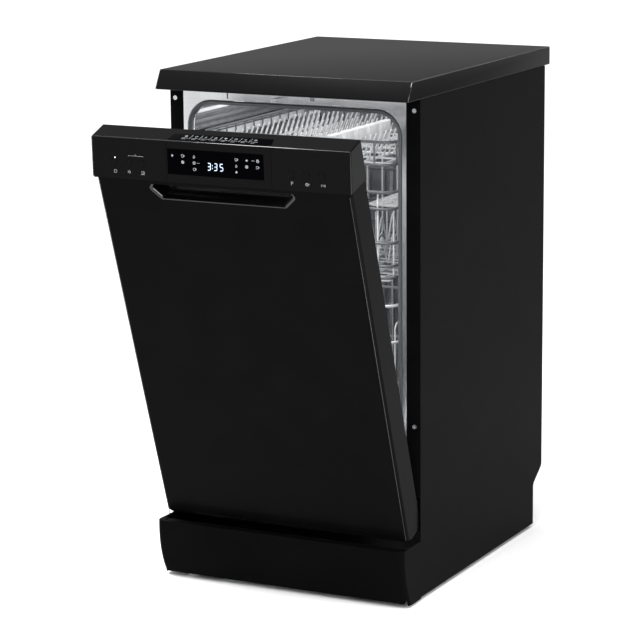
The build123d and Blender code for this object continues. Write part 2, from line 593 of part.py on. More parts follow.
# ---- detergent and rinse-aid dispenser ----
CHAMBER_X, CHAMBER_Z = (-50, -2), (397, 453)
RINSE = (38, 368)
with BuildPart() as dispenser_body:
    block(disp_x, (BULGE - 30, BULGE - 0.6), disp_z)
    fillet(dispenser_body.edges().filter_by(Axis.Y), 8)
    block(CHAMBER_X, (BULGE - 26, BULGE + 1), CHAMBER_Z, Mode.SUBTRACT)
    rods([(RINSE[0], BULGE - 8, RINSE[1])], 13, 20, "Y", Mode.SUBTRACT)
    block((CHAMBER_X[0] - 5, 62), (BULGE + 2.8, BULGE + 4.2), (CHAMBER_Z[1] + 4, CHAMBER_Z[1] + 7))
    block((CHAMBER_X[0] - 5, 62), (BULGE - 0.6, BULGE + 4.2), (CHAMBER_Z[1] + 5.4, CHAMBER_Z[1] + 7))
    block((CHAMBER_X[0] - 5, 62), (BULGE + 2.8, BULGE + 4.2), (CHAMBER_Z[0] - 7, CHAMBER_Z[0] - 4))
    block((CHAMBER_X[0] - 5, 62), (BULGE - 0.6, BULGE + 4.2), (CHAMBER_Z[0] - 7, CHAMBER_Z[0] - 5.4))
save(dispenser_body, "dispenser_body", on_door=True)
with BuildPart() as dispenser_lid:
    block((CHAMBER_X[0] - 4, CHAMBER_X[1] + 4), (BULGE - 0.3, BULGE + 2.4),
          (CHAMBER_Z[0] - 5, CHAMBER_Z[1] + 5))
    block((CHAMBER_X[0] + 4, CHAMBER_X[0] + 8), (BULGE + 2.4, BULGE + 5.4),
          (CHAMBER_Z[0] + 10, CHAMBER_Z[1] - 10))
save(dispenser_lid, "dispenser_lid", on_door=True)
with BuildPart() as rinse_aid_cap:
    rods([(RINSE[0], BULGE + 1.4, RINSE[1])], 17, 3.4, "Y")
    rods([(RINSE[0], BULGE - 6, RINSE[1])], 12.6, 12, "Y")
    block((RINSE[0] - 14, RINSE[0] + 14), (BULGE + 3, BULGE + 7), (RINSE[1] - 2.5, RINSE[1] + 2.5))
save(rinse_aid_cap, "rinse_aid_cap", on_door=True)

# ---- control panel ----
CONTROL_BACK = CASE_FRONT - 4.6


def control_outline(x, inset, back):
    """Side profile of the control panel at x: a leaning face, a level foot, a nearly level top."""
    lean = inset / cos(radians(CONTROL_LEAN))
    with BuildSketch(Plane.YZ.offset(x)) as profile:
        with BuildLine():
            Polyline(
                (CONTROL_FOOT[0] + lean + inset * 0.3, CONTROL_FOOT[1] + inset),
                (CONTROL_BROW[0] + lean - inset * 0.3, CONTROL_BROW[1] - inset),
                (back, 813.5 - inset), (back, CONTROL_FOOT[1] + inset), close=True,
            )
        make_face()
    return profile.sketch


with BuildPart() as control_panel:
    extrude(control_outline(-CONTROL_HALF, 0, CONTROL_BACK), amount=2 * CONTROL_HALF, dir=(1, 0, 0))
    corners = control_panel.edges().filter_by_position(Axis.Y, CONTROL_FOOT[0] + 1, CONTROL_BROW[0] - 1)
    fillet(corners, 4)
    brow = control_panel.edges().filter_by(Axis.X).filter_by_position(
        Axis.Y, CONTROL_BROW[0] - 1, CONTROL_BROW[0] + 1)
    fillet(brow, 2)
    extrude(control_outline(-CONTROL_HALF + 2.5, 2.5, CONTROL_BACK + 5),
            amount=2 * CONTROL_HALF - 5, dir=(1, 0, 0), mode=Mode.SUBTRACT)
    with BuildSketch(CONTROL_FACE):
        with Locations((DISPLAY[0], DISPLAY[1])):
            Rectangle(DISPLAY[2] + 0.5, DISPLAY[3] + 0.5)
        with Locations(*[(bx, BUTTON_UP) for bx in BUTTON_X.values()]):
            Circle(BUTTON_R + 0.4)
    extrude(amount=6, both=True, mode=Mode.SUBTRACT)
    with BuildSketch(CONTROL_FACE.offset(-0.5)):
        with Locations((-91, 0), (91, 0)):
            Rectangle(0.7, 80)
    extrude(amount=6, mode=Mode.SUBTRACT)
save(control_panel, "control_panel", on_door=True)

with BuildPart() as display_window:
    with BuildSketch(CONTROL_FACE.offset(-2.2)):
        with Locations((DISPLAY[0], DISPLAY[1])):
            Rectangle(DISPLAY[2], DISPLAY[3])
    extrude(amount=2.1)
save(display_window, "display_window", on_door=True)
with BuildPart() as control_board:
    with BuildSketch(CONTROL_FACE.offset(-11)):
        with Locations((0, -9)):
            Rectangle(410, 24)
    extrude(amount=1.6)
save(control_board, "control_board", on_door=True)
for label, bx in BUTTON_X.items():
    with BuildPart() as button:
        with BuildSketch(CONTROL_FACE.offset(-6)):
            with Locations((bx, BUTTON_UP)):
                Circle(BUTTON_R)
        extrude(amount=6.7)
        fillet(button.edges().filter_by(GeomType.CIRCLE).sort_by(Axis.Y)[0], 0.6)
        with BuildSketch(CONTROL_FACE.offset(-4.4)):
            with Locations((bx, BUTTON_UP)):
                Circle(BUTTON_R + 1.8)
        extrude(amount=1.2)
        with BuildSketch(CONTROL_FACE.offset(-7.6)):
            with Locations((bx, BUTTON_UP)):
                Circle(2)
        extrude(amount=2)
    save(button, label, on_door=True)

with BuildPart() as door_latch:
    block((STRIKER_X - 18, STRIKER_X + 18), (CASE_FRONT - 38, CASE_FRONT - 6), (790, 808.6))
    block((STRIKER_X - 9, STRIKER_X + 9), (CASE_FRONT - 27, CASE_FRONT), (794, 807), Mode.SUBTRACT)
save(door_latch, "door_latch", on_door=True)

# ---- rails ----
with BuildPart() as basket_rails:
    for z0, z1 in ((559, 581), (719, 737)):
        rail_y = (CASE_FRONT + 13.5, CASE_FRONT + 468)
        both_sides((185, 186.5), rail_y, (z0, z1))
        both_sides((177, 185), rail_y, (z0, z0 + 1.5))
        both_sides((177, 185), rail_y, (z1 - 1.5, z1))
        for y in (CASE_FRONT + 40, CASE_FRONT + 400):
            both_sides((186.5, TUB_HALF - WELD), (y, y + 20), (z0 + 4, z1 - 4))
save(basket_rails, "basket_rails")

# ---- upper basket, its folding shelves and spray arm hub ----
BASKET_HALF = 170
with BuildPart() as upper_basket:
    cage(BASKET_HALF, UPPER, UPPER_FLOOR, UPPER_RIM, (UPPER_FLOOR + 4, 580, UPPER_RIM), 8, 8, 9, 6)
    runner = (UPPER[0] + 12, UPPER[1] - 4)
    both_sides((175, 183), runner, (563, 577))
    rods([(0, UPPER_HUB_Y, UPPER_FLOOR - 11.1)], 10, 13.2)
    rods([(0, UPPER_HUB_Y, UPPER_FLOOR - 23)], ARM_PIN, 12)
    rods([(0, UPPER_HUB_Y, UPPER_FLOOR - 29)], 11, 3.4)
    rods([(x, y, UPPER_FLOOR + 40) for x in (-60, 60) for y in steps(UPPER[0] + 45, UPPER[1] - 45, 8)],
         WIRE, 76.6)
save(upper_basket, "upper_basket")

SHELF_X, SHELF_Z = 160, 632
for side, label in ((-1, "cup_shelf_left"), (1, "cup_shelf_right")):
    with BuildPart() as cup_shelf:
        shelf_y = (UPPER[0] + 50, UPPER[1] - 60)
        near, far = (100, SHELF_X) if side > 0 else (-SHELF_X, -100)
        block((near, far), shelf_y, (SHELF_Z - 2, SHELF_Z + 2))
        slots = [((near + far) / 2, y, SHELF_Z) for y in steps(shelf_y[0] + 20, shelf_y[1] - 20, 9)]
        with Locations(*slots):
            Box(40, 14, 10, mode=Mode.SUBTRACT)
        rods([(side * SHELF_X, sum(shelf_y) / 2, SHELF_Z)], 3, shelf_y[1] - shelf_y[0], "Y")
    save(cup_shelf, label)

# ---- cutlery tray ----
with BuildPart() as cutlery_tray:
    hoop(BASKET_HALF, UPPER, TRAY_FLOOR, RAIL)
    hoop(BASKET_HALF, UPPER, TRAY_RIM, RAIL)
    slats = steps(28 - BASKET_HALF, BASKET_HALF - 28, 13)
    rods([(x, (UPPER[0] + UPPER[1]) / 2, TRAY_FLOOR) for x in slats], WIRE,
         UPPER[1] - UPPER[0] - 2 * RAIL - 2 * WELD, "Y")
    posts = [(s * (BASKET_HALF), y, 724) for s in (-1, 1) for y in steps(UPPER[0] + 20, UPPER[1] - 20, 7)]
    posts += [(x, y, 724) for x in steps(-140, 140, 7) for y in UPPER]
    rods(posts, WIRE, TRAY_RIM - TRAY_FLOOR - 2 * RAIL - 2 * WELD)
    both_sides((175, 183), (UPPER[0] + 12, UPPER[1] - 4), (721.5, 734.5))
    for i in range(5):
        y0 = UPPER[0] + 50 + 46 * i
        block((29, 41), (y0, y0 + 40), (TRAY_FLOOR + 8, TRAY_RIM - 2))
save(cutlery_tray, "cutlery_tray")

# ---- lower basket, wheels and folding tines ----
TINE_X, TINE_Z = -30, LOWER_FLOOR + 5.2
WHEEL_Z = LEDGE_TOP + 12.3
WHEEL_Y = {"lower_wheels_front": LOWER[0] + 138, "lower_wheels_rear": LOWER[0] + 368}
with BuildPart() as lower_basket:
    cage(BASKET_HALF, LOWER, LOWER_FLOOR, LOWER_RIM, (LOWER_FLOOR + 4, 330, LOWER_RIM), 9, 8, 9, 7)
    for y in WHEEL_Y.values():
        both_sides((161, 167), (y - 9, y + 9), (195, 211))
        rods([(s * 174, y, WHEEL_Z) for s in (-1, 1)], 3, 14, "X")
    rods([(x, y, 270) for x in (60, 105) for y in steps(LOWER[0] + 45, LOWER[1] - 45, 10)],
         WIRE, 96)
save(lower_basket, "lower_basket")
for label, y in WHEEL_Y.items():
    with BuildPart() as wheels:
        rods([(s * 174.5, y, WHEEL_Z) for s in (-1, 1)], 12, 9, "X")
        rods([(s * 174.5, y, WHEEL_Z) for s in (-1, 1)], 3.06, 12, "X", Mode.SUBTRACT)
        for s in (-1, 1):
            for k in range(5):
                angle = radians(72 * k)
                rods([(s * 174.5, y + 7.4 * cos(angle), WHEEL_Z + 7.4 * sin(angle))], 2.2, 12, "X",
                     Mode.SUBTRACT)
    save(wheels, label)
with BuildPart() as folding_tines:
    rods([(TINE_X, (LOWER[0] + LOWER[1]) / 2, TINE_Z)], 2, 330, "Y")
    rods([(TINE_X, y, TINE_Z + 47) for y in steps(LOWER[0] + 60, LOWER[1] - 60, 9)], WIRE, 94)
save(folding_tines, "folding_tines")

print("hinge at", HINGE_Y, HINGE_Z, "control face leans", round(CONTROL_LEAN, 2))
print("control face length", round(hypot(18, 62.5), 2))
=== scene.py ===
import json

import bmesh
import bpy
import numpy as np
from mathutils import Matrix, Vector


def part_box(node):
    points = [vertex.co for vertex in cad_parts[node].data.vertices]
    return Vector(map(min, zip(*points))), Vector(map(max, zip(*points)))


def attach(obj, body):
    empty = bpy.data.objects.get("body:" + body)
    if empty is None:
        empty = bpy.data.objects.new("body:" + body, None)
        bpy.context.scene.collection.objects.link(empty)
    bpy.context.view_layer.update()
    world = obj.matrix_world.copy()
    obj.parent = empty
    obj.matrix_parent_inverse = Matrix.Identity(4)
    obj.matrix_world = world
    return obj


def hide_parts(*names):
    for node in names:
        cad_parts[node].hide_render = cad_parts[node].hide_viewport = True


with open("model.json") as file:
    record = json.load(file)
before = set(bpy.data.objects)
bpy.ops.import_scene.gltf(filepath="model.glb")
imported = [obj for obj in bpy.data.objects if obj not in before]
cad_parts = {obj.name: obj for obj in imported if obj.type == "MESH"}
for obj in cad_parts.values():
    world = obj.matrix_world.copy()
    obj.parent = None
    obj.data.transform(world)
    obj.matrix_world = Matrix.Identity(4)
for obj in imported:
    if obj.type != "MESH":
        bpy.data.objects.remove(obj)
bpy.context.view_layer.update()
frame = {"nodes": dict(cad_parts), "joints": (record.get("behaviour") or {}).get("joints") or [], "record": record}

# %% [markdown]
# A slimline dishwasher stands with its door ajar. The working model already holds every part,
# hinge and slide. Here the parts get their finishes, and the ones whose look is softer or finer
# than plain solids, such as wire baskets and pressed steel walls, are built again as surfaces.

MM = 0.001


def corners(node):
    """A node's lowest and highest corners at rest, in millimetres."""
    low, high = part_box(node)
    return np.array(low) / MM, np.array(high) / MM


panel_low, panel_high = corners("side_panel_left")
CASE_FRONT = panel_low[1]
hinge = next(joint for joint in frame["joints"] if joint["name"] == "door_hinge")
HINGE = np.array(hinge["pos_m"]) / MM
AJAR = -np.radians(hinge["range_deg"][0])
print("case front at", round(CASE_FRONT, 1), "mm, door ajar by", round(np.degrees(AJAR), 1))

# %% [markdown]
# The camera stands to the right of the machine and a little above the worktop, far off, with a
# long lens, so upright edges stay nearly parallel. Its place is worked out from a point to look
# at, two angles and a distance. A small roll turns it about its own line of sight.

# %% Camera
LOOK_AT = np.array([-80.06, 106.2, 390.26])
AZIMUTH, ELEVATION, ROLL = np.radians([26.83, 11.80, -0.47])
DISTANCE = 4633.6
LENS = 151.79


def place_camera():
    """Columns of the camera's matrix: its right, its up and the way back from the target."""
    back = np.array([
        np.sin(AZIMUTH) * np.cos(ELEVATION), -np.cos(AZIMUTH) * np.cos(ELEVATION), np.sin(ELEVATION),
    ])
    right = np.cross(-back, [0, 0, 1])
    right /= np.linalg.norm(right)
    up = np.cross(right, -back)
    across = np.cos(ROLL) * right + np.sin(ROLL) * up
    upward = -np.sin(ROLL) * right + np.cos(ROLL) * up
    matrix = np.eye(4)
    matrix[:3] = np.column_stack((across, upward, back, (LOOK_AT + back * DISTANCE) * MM))
    camera = bpy.data.objects.new("camera", bpy.data.cameras.new("camera"))
    bpy.context.scene.collection.objects.link(camera)
    camera.matrix_world = Matrix(matrix.tolist())
    camera.data.lens = LENS
    camera.data.sensor_width = 36
    camera.data.clip_end = 50
    bpy.context.scene.camera = camera


place_camera()
bpy.context.scene.view_settings.view_transform = "Standard"

# %% [markdown]
# A node material is a small network. One function adds a node, sets its values and joins its
# inputs to what is already there, so each finish below reads as a list of what it is made of.
# Colours are the usual hex codes for the screen, turned into the linear values light works with.

# %% Colour and node helpers
def linear(code):
    """A hex colour as linear red, green, blue: the screen curve undone channel by channel."""
    screen = np.array([int(code[i:i + 2], 16) for i in (1, 3, 5)]) / 255
    light = np.where(screen <= 0.04045, screen / 12.92, ((screen + 0.055) / 1.055) ** 2.4)
    return (*light, 1.0)


def node(tree, kind, inputs=None, stops=()):
    """Add a node. An input given as a node or a socket is linked, and any other value is set.
    Stops are the (place, hex colour) pairs of a colour ramp."""
    made = tree.nodes.new(kind)
    for name, value in (inputs or {}).items():
        if isinstance(value, bpy.types.Node):
            value = value.outputs[0]
        if isinstance(value, bpy.types.NodeSocket):
            tree.links.new(value, made.inputs[name])
        else:
            made.inputs[name].default_value = value
    for number, (place, code) in enumerate(stops):
        made.color_ramp.elements[number].position = place
        made.color_ramp.elements[number].color = linear(code)
    return made


def grains(size_mm):
    """A pattern's scale: how many grains of this size lie in a metre."""
    return 1 / (size_mm * MM)


def finish(name, surface, *settings):
    """A material whose shader is what surface(tree, place, ...) returns. Place is the point on the
    piece in its own coordinates, so a pattern stays with a piece that moves."""
    made = bpy.data.materials.new(name)
    made.use_nodes = True
    tree = made.node_tree
    tree.nodes.clear()
    place = node(tree, "ShaderNodeTexCoord").outputs["Object"]
    node(tree, "ShaderNodeOutputMaterial", {"Surface": surface(tree, place, *settings)})
    return made


# %% [markdown]
# The casing is steel sheet under baked powder paint. The powder melts into a skin that is almost
# flat, with a faint orange-peel swell about two millimetres across, so highlights have soft,
# slightly broken edges. The worktop is chipboard under black melamine paper with a fine pearl.
# Both could be a plain dark colour, but the swell and the pearl are what tell paint from plastic.

# %% Painted and laminated finishes
def powder_paint(tree, place, gloss):
    """Baked polyester powder: near black, with a peel that only shows where it breaks a highlight."""
    peel = node(tree, "ShaderNodeTexNoise", {"Vector": place, "Scale": grains(2.2)})
    cloud = node(tree, "ShaderNodeTexNoise", {"Vector": place, "Scale": grains(60)})
    black = node(tree, "ShaderNodeValToRGB", {"Fac": cloud}, [(0.3, "#070707"), (0.7, "#09090a")])
    return node(tree, "ShaderNodeBsdfPrincipled", {
        "Base Color": black,
        "Roughness": node(tree, "ShaderNodeMapRange", {"Value": peel, "To Min": 0.22, "To Max": 0.3}),
        "Specular IOR Level": gloss,
        "Normal": node(tree, "ShaderNodeBump", {
            "Height": peel, "Distance": 0.05 * MM, "Strength": 0.5,
        }),
    })


def melamine(tree, place):
    """Pressed resin paper: the pearl is drawn at 0.9 mm, coarser than real, so that it shows."""
    pearl = node(tree, "ShaderNodeTexNoise", {"Vector": place, "Scale": grains(0.9), "Detail": 3.0})
    black = node(tree, "ShaderNodeValToRGB", {"Fac": pearl}, [(0.3, "#0c0c0d"), (0.7, "#121213")])
    return node(tree, "ShaderNodeBsdfPrincipled", {
        "Base Color": black,
        "Roughness": node(tree, "ShaderNodeMapRange", {"Value": pearl, "To Min": 0.3, "To Max": 0.4}),
        "Specular IOR Level": 0.025,
        "Normal": node(tree, "ShaderNodeBump", {
            "Height": pearl, "Distance": 0.04 * MM, "Strength": 0.5,
        }),
    })


# %% [markdown]
# The control panel is ABS, moulded in a spark-eroded tool that leaves a fine satin. Where the tool
# was polished, on its edges and in the handle pocket, the same plastic is a mirror. The display
# window is smoked acrylic, which is deep black with nothing lit behind it.

# %% Finishes of the control panel
def satin_abs(tree, place):
    """Spark-eroded grain of 0.6 mm: an even sheen with no clear reflection."""
    spark = node(tree, "ShaderNodeTexNoise", {"Vector": place, "Scale": grains(0.6)})
    black = node(tree, "ShaderNodeValToRGB", {"Fac": spark}, [(0.3, "#070708"), (0.7, "#0a0a0b")])
    return node(tree, "ShaderNodeBsdfPrincipled", {
        "Base Color": black,
        "Roughness": node(tree, "ShaderNodeMapRange", {"Value": spark, "To Min": 0.2, "To Max": 0.28}),
        "Specular IOR Level": 0.05,
        "Normal": node(tree, "ShaderNodeBump", {
            "Height": spark, "Distance": 0.02 * MM, "Strength": 0.4,
        }),
    })


def polished_abs(tree, place):
    """Polished tool: full plastic gloss, so edges draw thin bright lines."""
    ripple = node(tree, "ShaderNodeTexNoise", {"Vector": place, "Scale": grains(6)})
    return node(tree, "ShaderNodeBsdfPrincipled", {
        "Base Color": linear("#060607"),
        "Roughness": node(tree, "ShaderNodeMapRange", {"Value": ripple, "To Min": 0.12, "To Max": 0.18}),
        "Specular IOR Level": 0.5,
    })


def smoked_acrylic(tree, place):
    """Smoked sheet with an anti-glare coat: blacker than all that is round it."""
    haze = node(tree, "ShaderNodeTexNoise", {"Vector": place, "Scale": grains(40)})
    return node(tree, "ShaderNodeBsdfPrincipled", {
        "Base Color": linear("#010102"),
        "Roughness": node(tree, "ShaderNodeMapRange", {"Value": haze, "To Min": 0.05, "To Max": 0.09}),
        "Specular IOR Level": 0.01,
    })


# %% [markdown]
# Inside, the tub is bright-rolled stainless steel. Rolling leaves fine upright streaks, so the
# noise is drawn out along the height, and roughness follows it. The chassis behind is galvanised,
# and its zinc freezes in flat crystals of a centimetre or so, each a slightly different grey.

# %% Metals
def rolled_stainless(tree, place):
    """Cold-rolled sheet: reflections smear up and down along streaks 1.6 mm wide."""
    upright = node(tree, "ShaderNodeMapping", {"Vector": place, "Scale": (1, 1, 0.02)})
    streak = node(tree, "ShaderNodeTexNoise", {"Vector": upright, "Scale": grains(1.6), "Detail": 3.0})
    cloud = node(tree, "ShaderNodeTexNoise", {"Vector": place, "Scale": grains(70)})
    steel = node(tree, "ShaderNodeValToRGB", {"Fac": cloud}, [(0.3, "#c9cacc"), (0.7, "#dcdddf")])
    return node(tree, "ShaderNodeBsdfPrincipled", {
        "Base Color": steel,
        "Metallic": 1.0,
        "Roughness": node(tree, "ShaderNodeMapRange", {"Value": streak, "To Min": 0.14, "To Max": 0.28}),
        "Normal": node(tree, "ShaderNodeBump", {
            "Height": streak, "Distance": 0.01 * MM, "Strength": 0.35,
        }),
    })


def galvanised(tree, place):
    """Hot-dipped zinc: flat crystals about 9 mm across, each with its own grey and gloss."""
    crystal = node(tree, "ShaderNodeTexVoronoi", {"Vector": place, "Scale": grains(9)})
    tone = node(tree, "ShaderNodeSeparateColor", {"Color": crystal.outputs["Color"]})
    zinc = node(tree, "ShaderNodeValToRGB", {"Fac": tone}, [(0.0, "#8e9194"), (1.0, "#b4b7ba")])
    return node(tree, "ShaderNodeBsdfPrincipled", {
        "Base Color": zinc,
        "Metallic": 1.0,
        "Roughness": node(tree, "ShaderNodeMapRange", {"Value": tone, "To Min": 0.34, "To Max": 0.5}),
    })


def plated_screw(tree, place):
    """Turned and zinc plated: bright, with fine rings left by the tool."""
    rings = node(tree, "ShaderNodeMapping", {"Vector": place, "Scale": (1, 0.1, 1)})
    cut = node(tree, "ShaderNodeTexNoise", {"Vector": rings, "Scale": grains(0.3)})
    zinc = node(tree, "ShaderNodeValToRGB", {"Fac": cut}, [(0.3, "#b9bbbd"), (0.7, "#e3e4e5")])
    return node(tree, "ShaderNodeBsdfPrincipled", {
        "Base Color": zinc,
        "Metallic": 1.0,
        "Roughness": node(tree, "ShaderNodeMapRange", {"Value": cut, "To Min": 0.2, "To Max": 0.34}),
        "Normal": node(tree, "ShaderNodeBump", {
            "Height": cut, "Distance": 0.01 * MM, "Strength": 0.4,
        }),
    })


# %% [markdown]
# Basket wire is steel rod dipped in hot nylon powder. The coat is smooth and a little waxy, and a
# shade thicker in some places than in others, which a shallow swell a few millimetres long gives.
# The moulded plastics differ mostly in colour and in how fine their mould's texture was.

# %% Plastics and rubber
def nylon_coat(tree, place, thin, thick):
    """Dipped nylon: waxy, with a swell of 5 mm where the coat ran together."""
    swell = node(tree, "ShaderNodeTexNoise", {"Vector": place, "Scale": grains(5)})
    coat = node(tree, "ShaderNodeValToRGB", {"Fac": swell}, [(0.3, thin), (0.7, thick)])
    return node(tree, "ShaderNodeBsdfPrincipled", {
        "Base Color": coat,
        "Roughness": node(tree, "ShaderNodeMapRange", {"Value": swell, "To Min": 0.24, "To Max": 0.34}),
        "Normal": node(tree, "ShaderNodeBump", {
            "Height": swell, "Distance": 0.12 * MM, "Strength": 0.5,
        }),
    })


def moulded(tree, place, dark, light, roughness, grain_mm=0.8):
    """Injection-moulded plastic: the tool's grain in the gloss, and a slow change of shade."""
    grain = node(tree, "ShaderNodeTexNoise", {"Vector": place, "Scale": grains(grain_mm)})
    cloud = node(tree, "ShaderNodeTexNoise", {"Vector": place, "Scale": grains(30)})
    plastic = node(tree, "ShaderNodeValToRGB", {"Fac": cloud}, [(0.3, dark), (0.7, light)])
    return node(tree, "ShaderNodeBsdfPrincipled", {
        "Base Color": plastic,
        "Roughness": node(tree, "ShaderNodeMapRange", {
            "Value": grain, "To Min": roughness - 0.05, "To Max": roughness + 0.05,
        }),
        "Normal": node(tree, "ShaderNodeBump", {
            "Height": grain, "Distance": 0.05 * MM, "Strength": 0.5,
        }),
    })


def seal_rubber(tree, place):
    """Extruded EPDM: dull grey with a paler bloom, and a fine die-drawn grain."""
    bloom = node(tree, "ShaderNodeTexNoise", {"Vector": place, "Scale": grains(14)})
    grain = node(tree, "ShaderNodeTexNoise", {"Vector": place, "Scale": grains(0.7)})
    rubber = node(tree, "ShaderNodeValToRGB", {"Fac": bloom}, [(0.3, "#2a2c2e"), (0.7, "#343638")])
    return node(tree, "ShaderNodeBsdfPrincipled", {
        "Base Color": rubber,
        "Roughness": node(tree, "ShaderNodeMapRange", {"Value": bloom, "To Min": 0.5, "To Max": 0.64}),
        "Normal": node(tree, "ShaderNodeBump", {
            "Height": grain, "Distance": 0.04 * MM, "Strength": 0.6,
        }),
    })


# %% [markdown]
# The last finishes are thin layers: the green lacquer on the circuit board with copper tracks
# under it, the grey ink printed on the panel, and the lit windows of the display. A lit window is
# a surface that gives off its own light, weak enough to stay the colour it is printed in.

# %% Lacquer, ink and lit windows
def solder_resist(tree, place):
    """Green lacquer: a brick pattern of 30 mm stands for the tracks that show through it."""
    tracks = node(tree, "ShaderNodeTexBrick", {
        "Vector": place, "Scale": grains(30), "Color1": linear("#155a2c"),
        "Color2": linear("#1a6a34"), "Mortar": linear("#2c8048"), "Mortar Size": 0.03,
    })
    return node(tree, "ShaderNodeBsdfPrincipled", {"Base Color": tracks, "Roughness": 0.3})


def printed_ink(tree, place):
    """Pad-printed ink: dull, and thinner in some spots than in others."""
    wear = node(tree, "ShaderNodeTexNoise", {"Vector": place, "Scale": grains(0.5)})
    grey = node(tree, "ShaderNodeValToRGB", {"Fac": wear}, [(0.3, "#8f9193"), (0.7, "#a6a8aa")])
    return node(tree, "ShaderNodeBsdfPrincipled", {"Base Color": grey, "Roughness": 0.6})


def glowing(tree, place, code, strength):
    """Light through a printed window, a little whiter in some spots."""
    even = node(tree, "ShaderNodeTexNoise", {"Vector": place, "Scale": grains(3)})
    light = node(tree, "ShaderNodeValToRGB", {"Fac": even}, [(0.0, code), (1.0, "#ffffff")])
    return node(tree, "ShaderNodeBsdfPrincipled", {
        "Base Color": linear(code), "Emission Color": light, "Emission Strength": strength,
        "Roughness": 0.4,
    })


# %% [markdown]
# The working model's record names a material slot for every node, so one table of finishes covers
# them all. The door's outer sheet is enamelled a touch glossier than the casing beside it.

# %% Finishes on the working model
finishes = {
    "worktop_laminate": finish("black_melamine_laminate", melamine),
    "black_steel": finish("black_powder_paint", powder_paint, 0.006),
    "zinc_steel": finish("galvanised_steel", galvanised),
    "stainless": finish("bright_rolled_stainless", rolled_stainless),
    "screw_steel": finish("zinc_plated_screw", plated_screw),
    "rubber_grey": finish("epdm_seal_rubber", seal_rubber),
    "black_plastic": finish("black_polypropylene", moulded, "#131314", "#19191a", 0.48),
    "black_abs": finish("satin_black_abs", satin_abs),
    "display_glass": finish("polished_smoked_acrylic", smoked_acrylic),
    "circuit_board": finish("green_solder_resist", solder_resist),
    "grey_plastic": finish("grey_polypropylene", moulded, "#8b8e91", "#9a9da0", 0.4),
    "pale_plastic": finish("white_polypropylene", moulded, "#dddedf", "#ebeced", 0.34),
    "pump_plastic": finish("glass_filled_nylon", moulded, "#242527", "#303134", 0.55, 1.5),
    "coated_wire": finish("white_nylon_coated_wire", nylon_coat, "#d6d8da", "#e8e9ea"),
}
door_paint = finish("satin_door_enamel", powder_paint, 0.014)
gloss_abs = finish("polished_black_abs", polished_abs)
dark_coat = finish("grey_nylon_coated_wire", nylon_coat, "#5a5d60", "#6a6d70")
ink = finish("pad_printed_grey_ink", printed_ink)
digit_light = finish("cool_white_digits", glowing, "#bfd8ff", 1.1)
icon_light = finish("dim_white_icons", glowing, "#b9bdc2", 0.24)
lamp_light = finish("white_power_lamp", glowing, "#ffffff", 1.6)

for part in frame["record"]["subparts"]:
    for slot in frame["nodes"][part["node"]].material_slots:
        slot.material = finishes[part["material_slot"]]
frame["nodes"]["door_outer_panel"].material_slots[0].material = door_paint

# %% [markdown]
# The new pieces are surfaces. A shape is a grid of points, worked out as whole arrays, and its
# neighbours are joined into four-sided faces. Every shape is kept as two arrays, its points and
# its faces, so shapes can be joined, repeated and mirrored before any of them becomes a mesh.

# %% Grids of points, and lids for their ends
def grid(points, wrap_rows=False, wrap_columns=False):
    """Faces between neighbouring points of a (rows, columns, 3) array, closed round if wrapped."""
    index = np.arange(points.shape[0] * points.shape[1]).reshape(points.shape[:2])
    if wrap_rows:
        index = np.vstack((index, index[:1]))
    if wrap_columns:
        index = np.hstack((index, index[:, :1]))
    faces = np.stack((index[:-1, :-1], index[1:, :-1], index[1:, 1:], index[:-1, 1:]), axis=-1)
    return points.reshape(-1, 3), faces.reshape(-1, 4)


def lid(ring):
    """Four-sided faces that close a ring of an even number of point numbers, rung by rung."""
    count, step = len(ring), np.arange(len(ring) // 2 - 1)
    return np.stack((ring[step], ring[step + 1], ring[count - 2 - step], ring[count - 1 - step]), -1)


def closed_grid(points):
    """A grid closed round each row and shut at its first and last rows."""
    flat, faces = grid(points, wrap_columns=True)
    rows, columns = points.shape[:2]
    first = np.arange(columns)
    return flat, np.concatenate((faces, lid(first), lid(first + (rows - 1) * columns)))


# %% [markdown]
# A machine like this is full of repeats: wires, teeth, jets, wheels. A repeat is the first shape's
# points plus a list of offsets, added in one step. Mirrored faces are read backwards, because a
# mirror turns a surface inside out.

# %% Joining, repeating and mirroring
def joined(*parts):
    """Several shapes as one: each part's face numbers are raised by the points before it."""
    starts = np.cumsum([0] + [len(points) for points, faces in parts[:-1]])
    return (np.concatenate([points for points, faces in parts]),
            np.concatenate([faces + start for (points, faces), start in zip(parts, starts)]))


def copies(part, moves):
    """The same shape at each of these offsets."""
    points, faces = part
    moves = np.atleast_2d(np.array(moves, float))
    start = len(points) * np.arange(len(moves))[:, None, None]
    return (points + moves[:, None]).reshape(-1, 3), (faces + start).reshape(-1, 4)


def mirrored(part):
    """A shape and its mirror image across the middle plane."""
    points, faces = part
    return joined(part, (points * (-1, 1, 1), faces[:, ::-1]))


# %% [markdown]
# Wire is bent over a former, so its path is straight runs joined by arcs. Each corner's arc starts
# and ends r / tan(half the corner's angle) from the corner, and its centre lies on the bisector.
# Turning one end of the arc into the other in equal steps gives evenly spaced points.

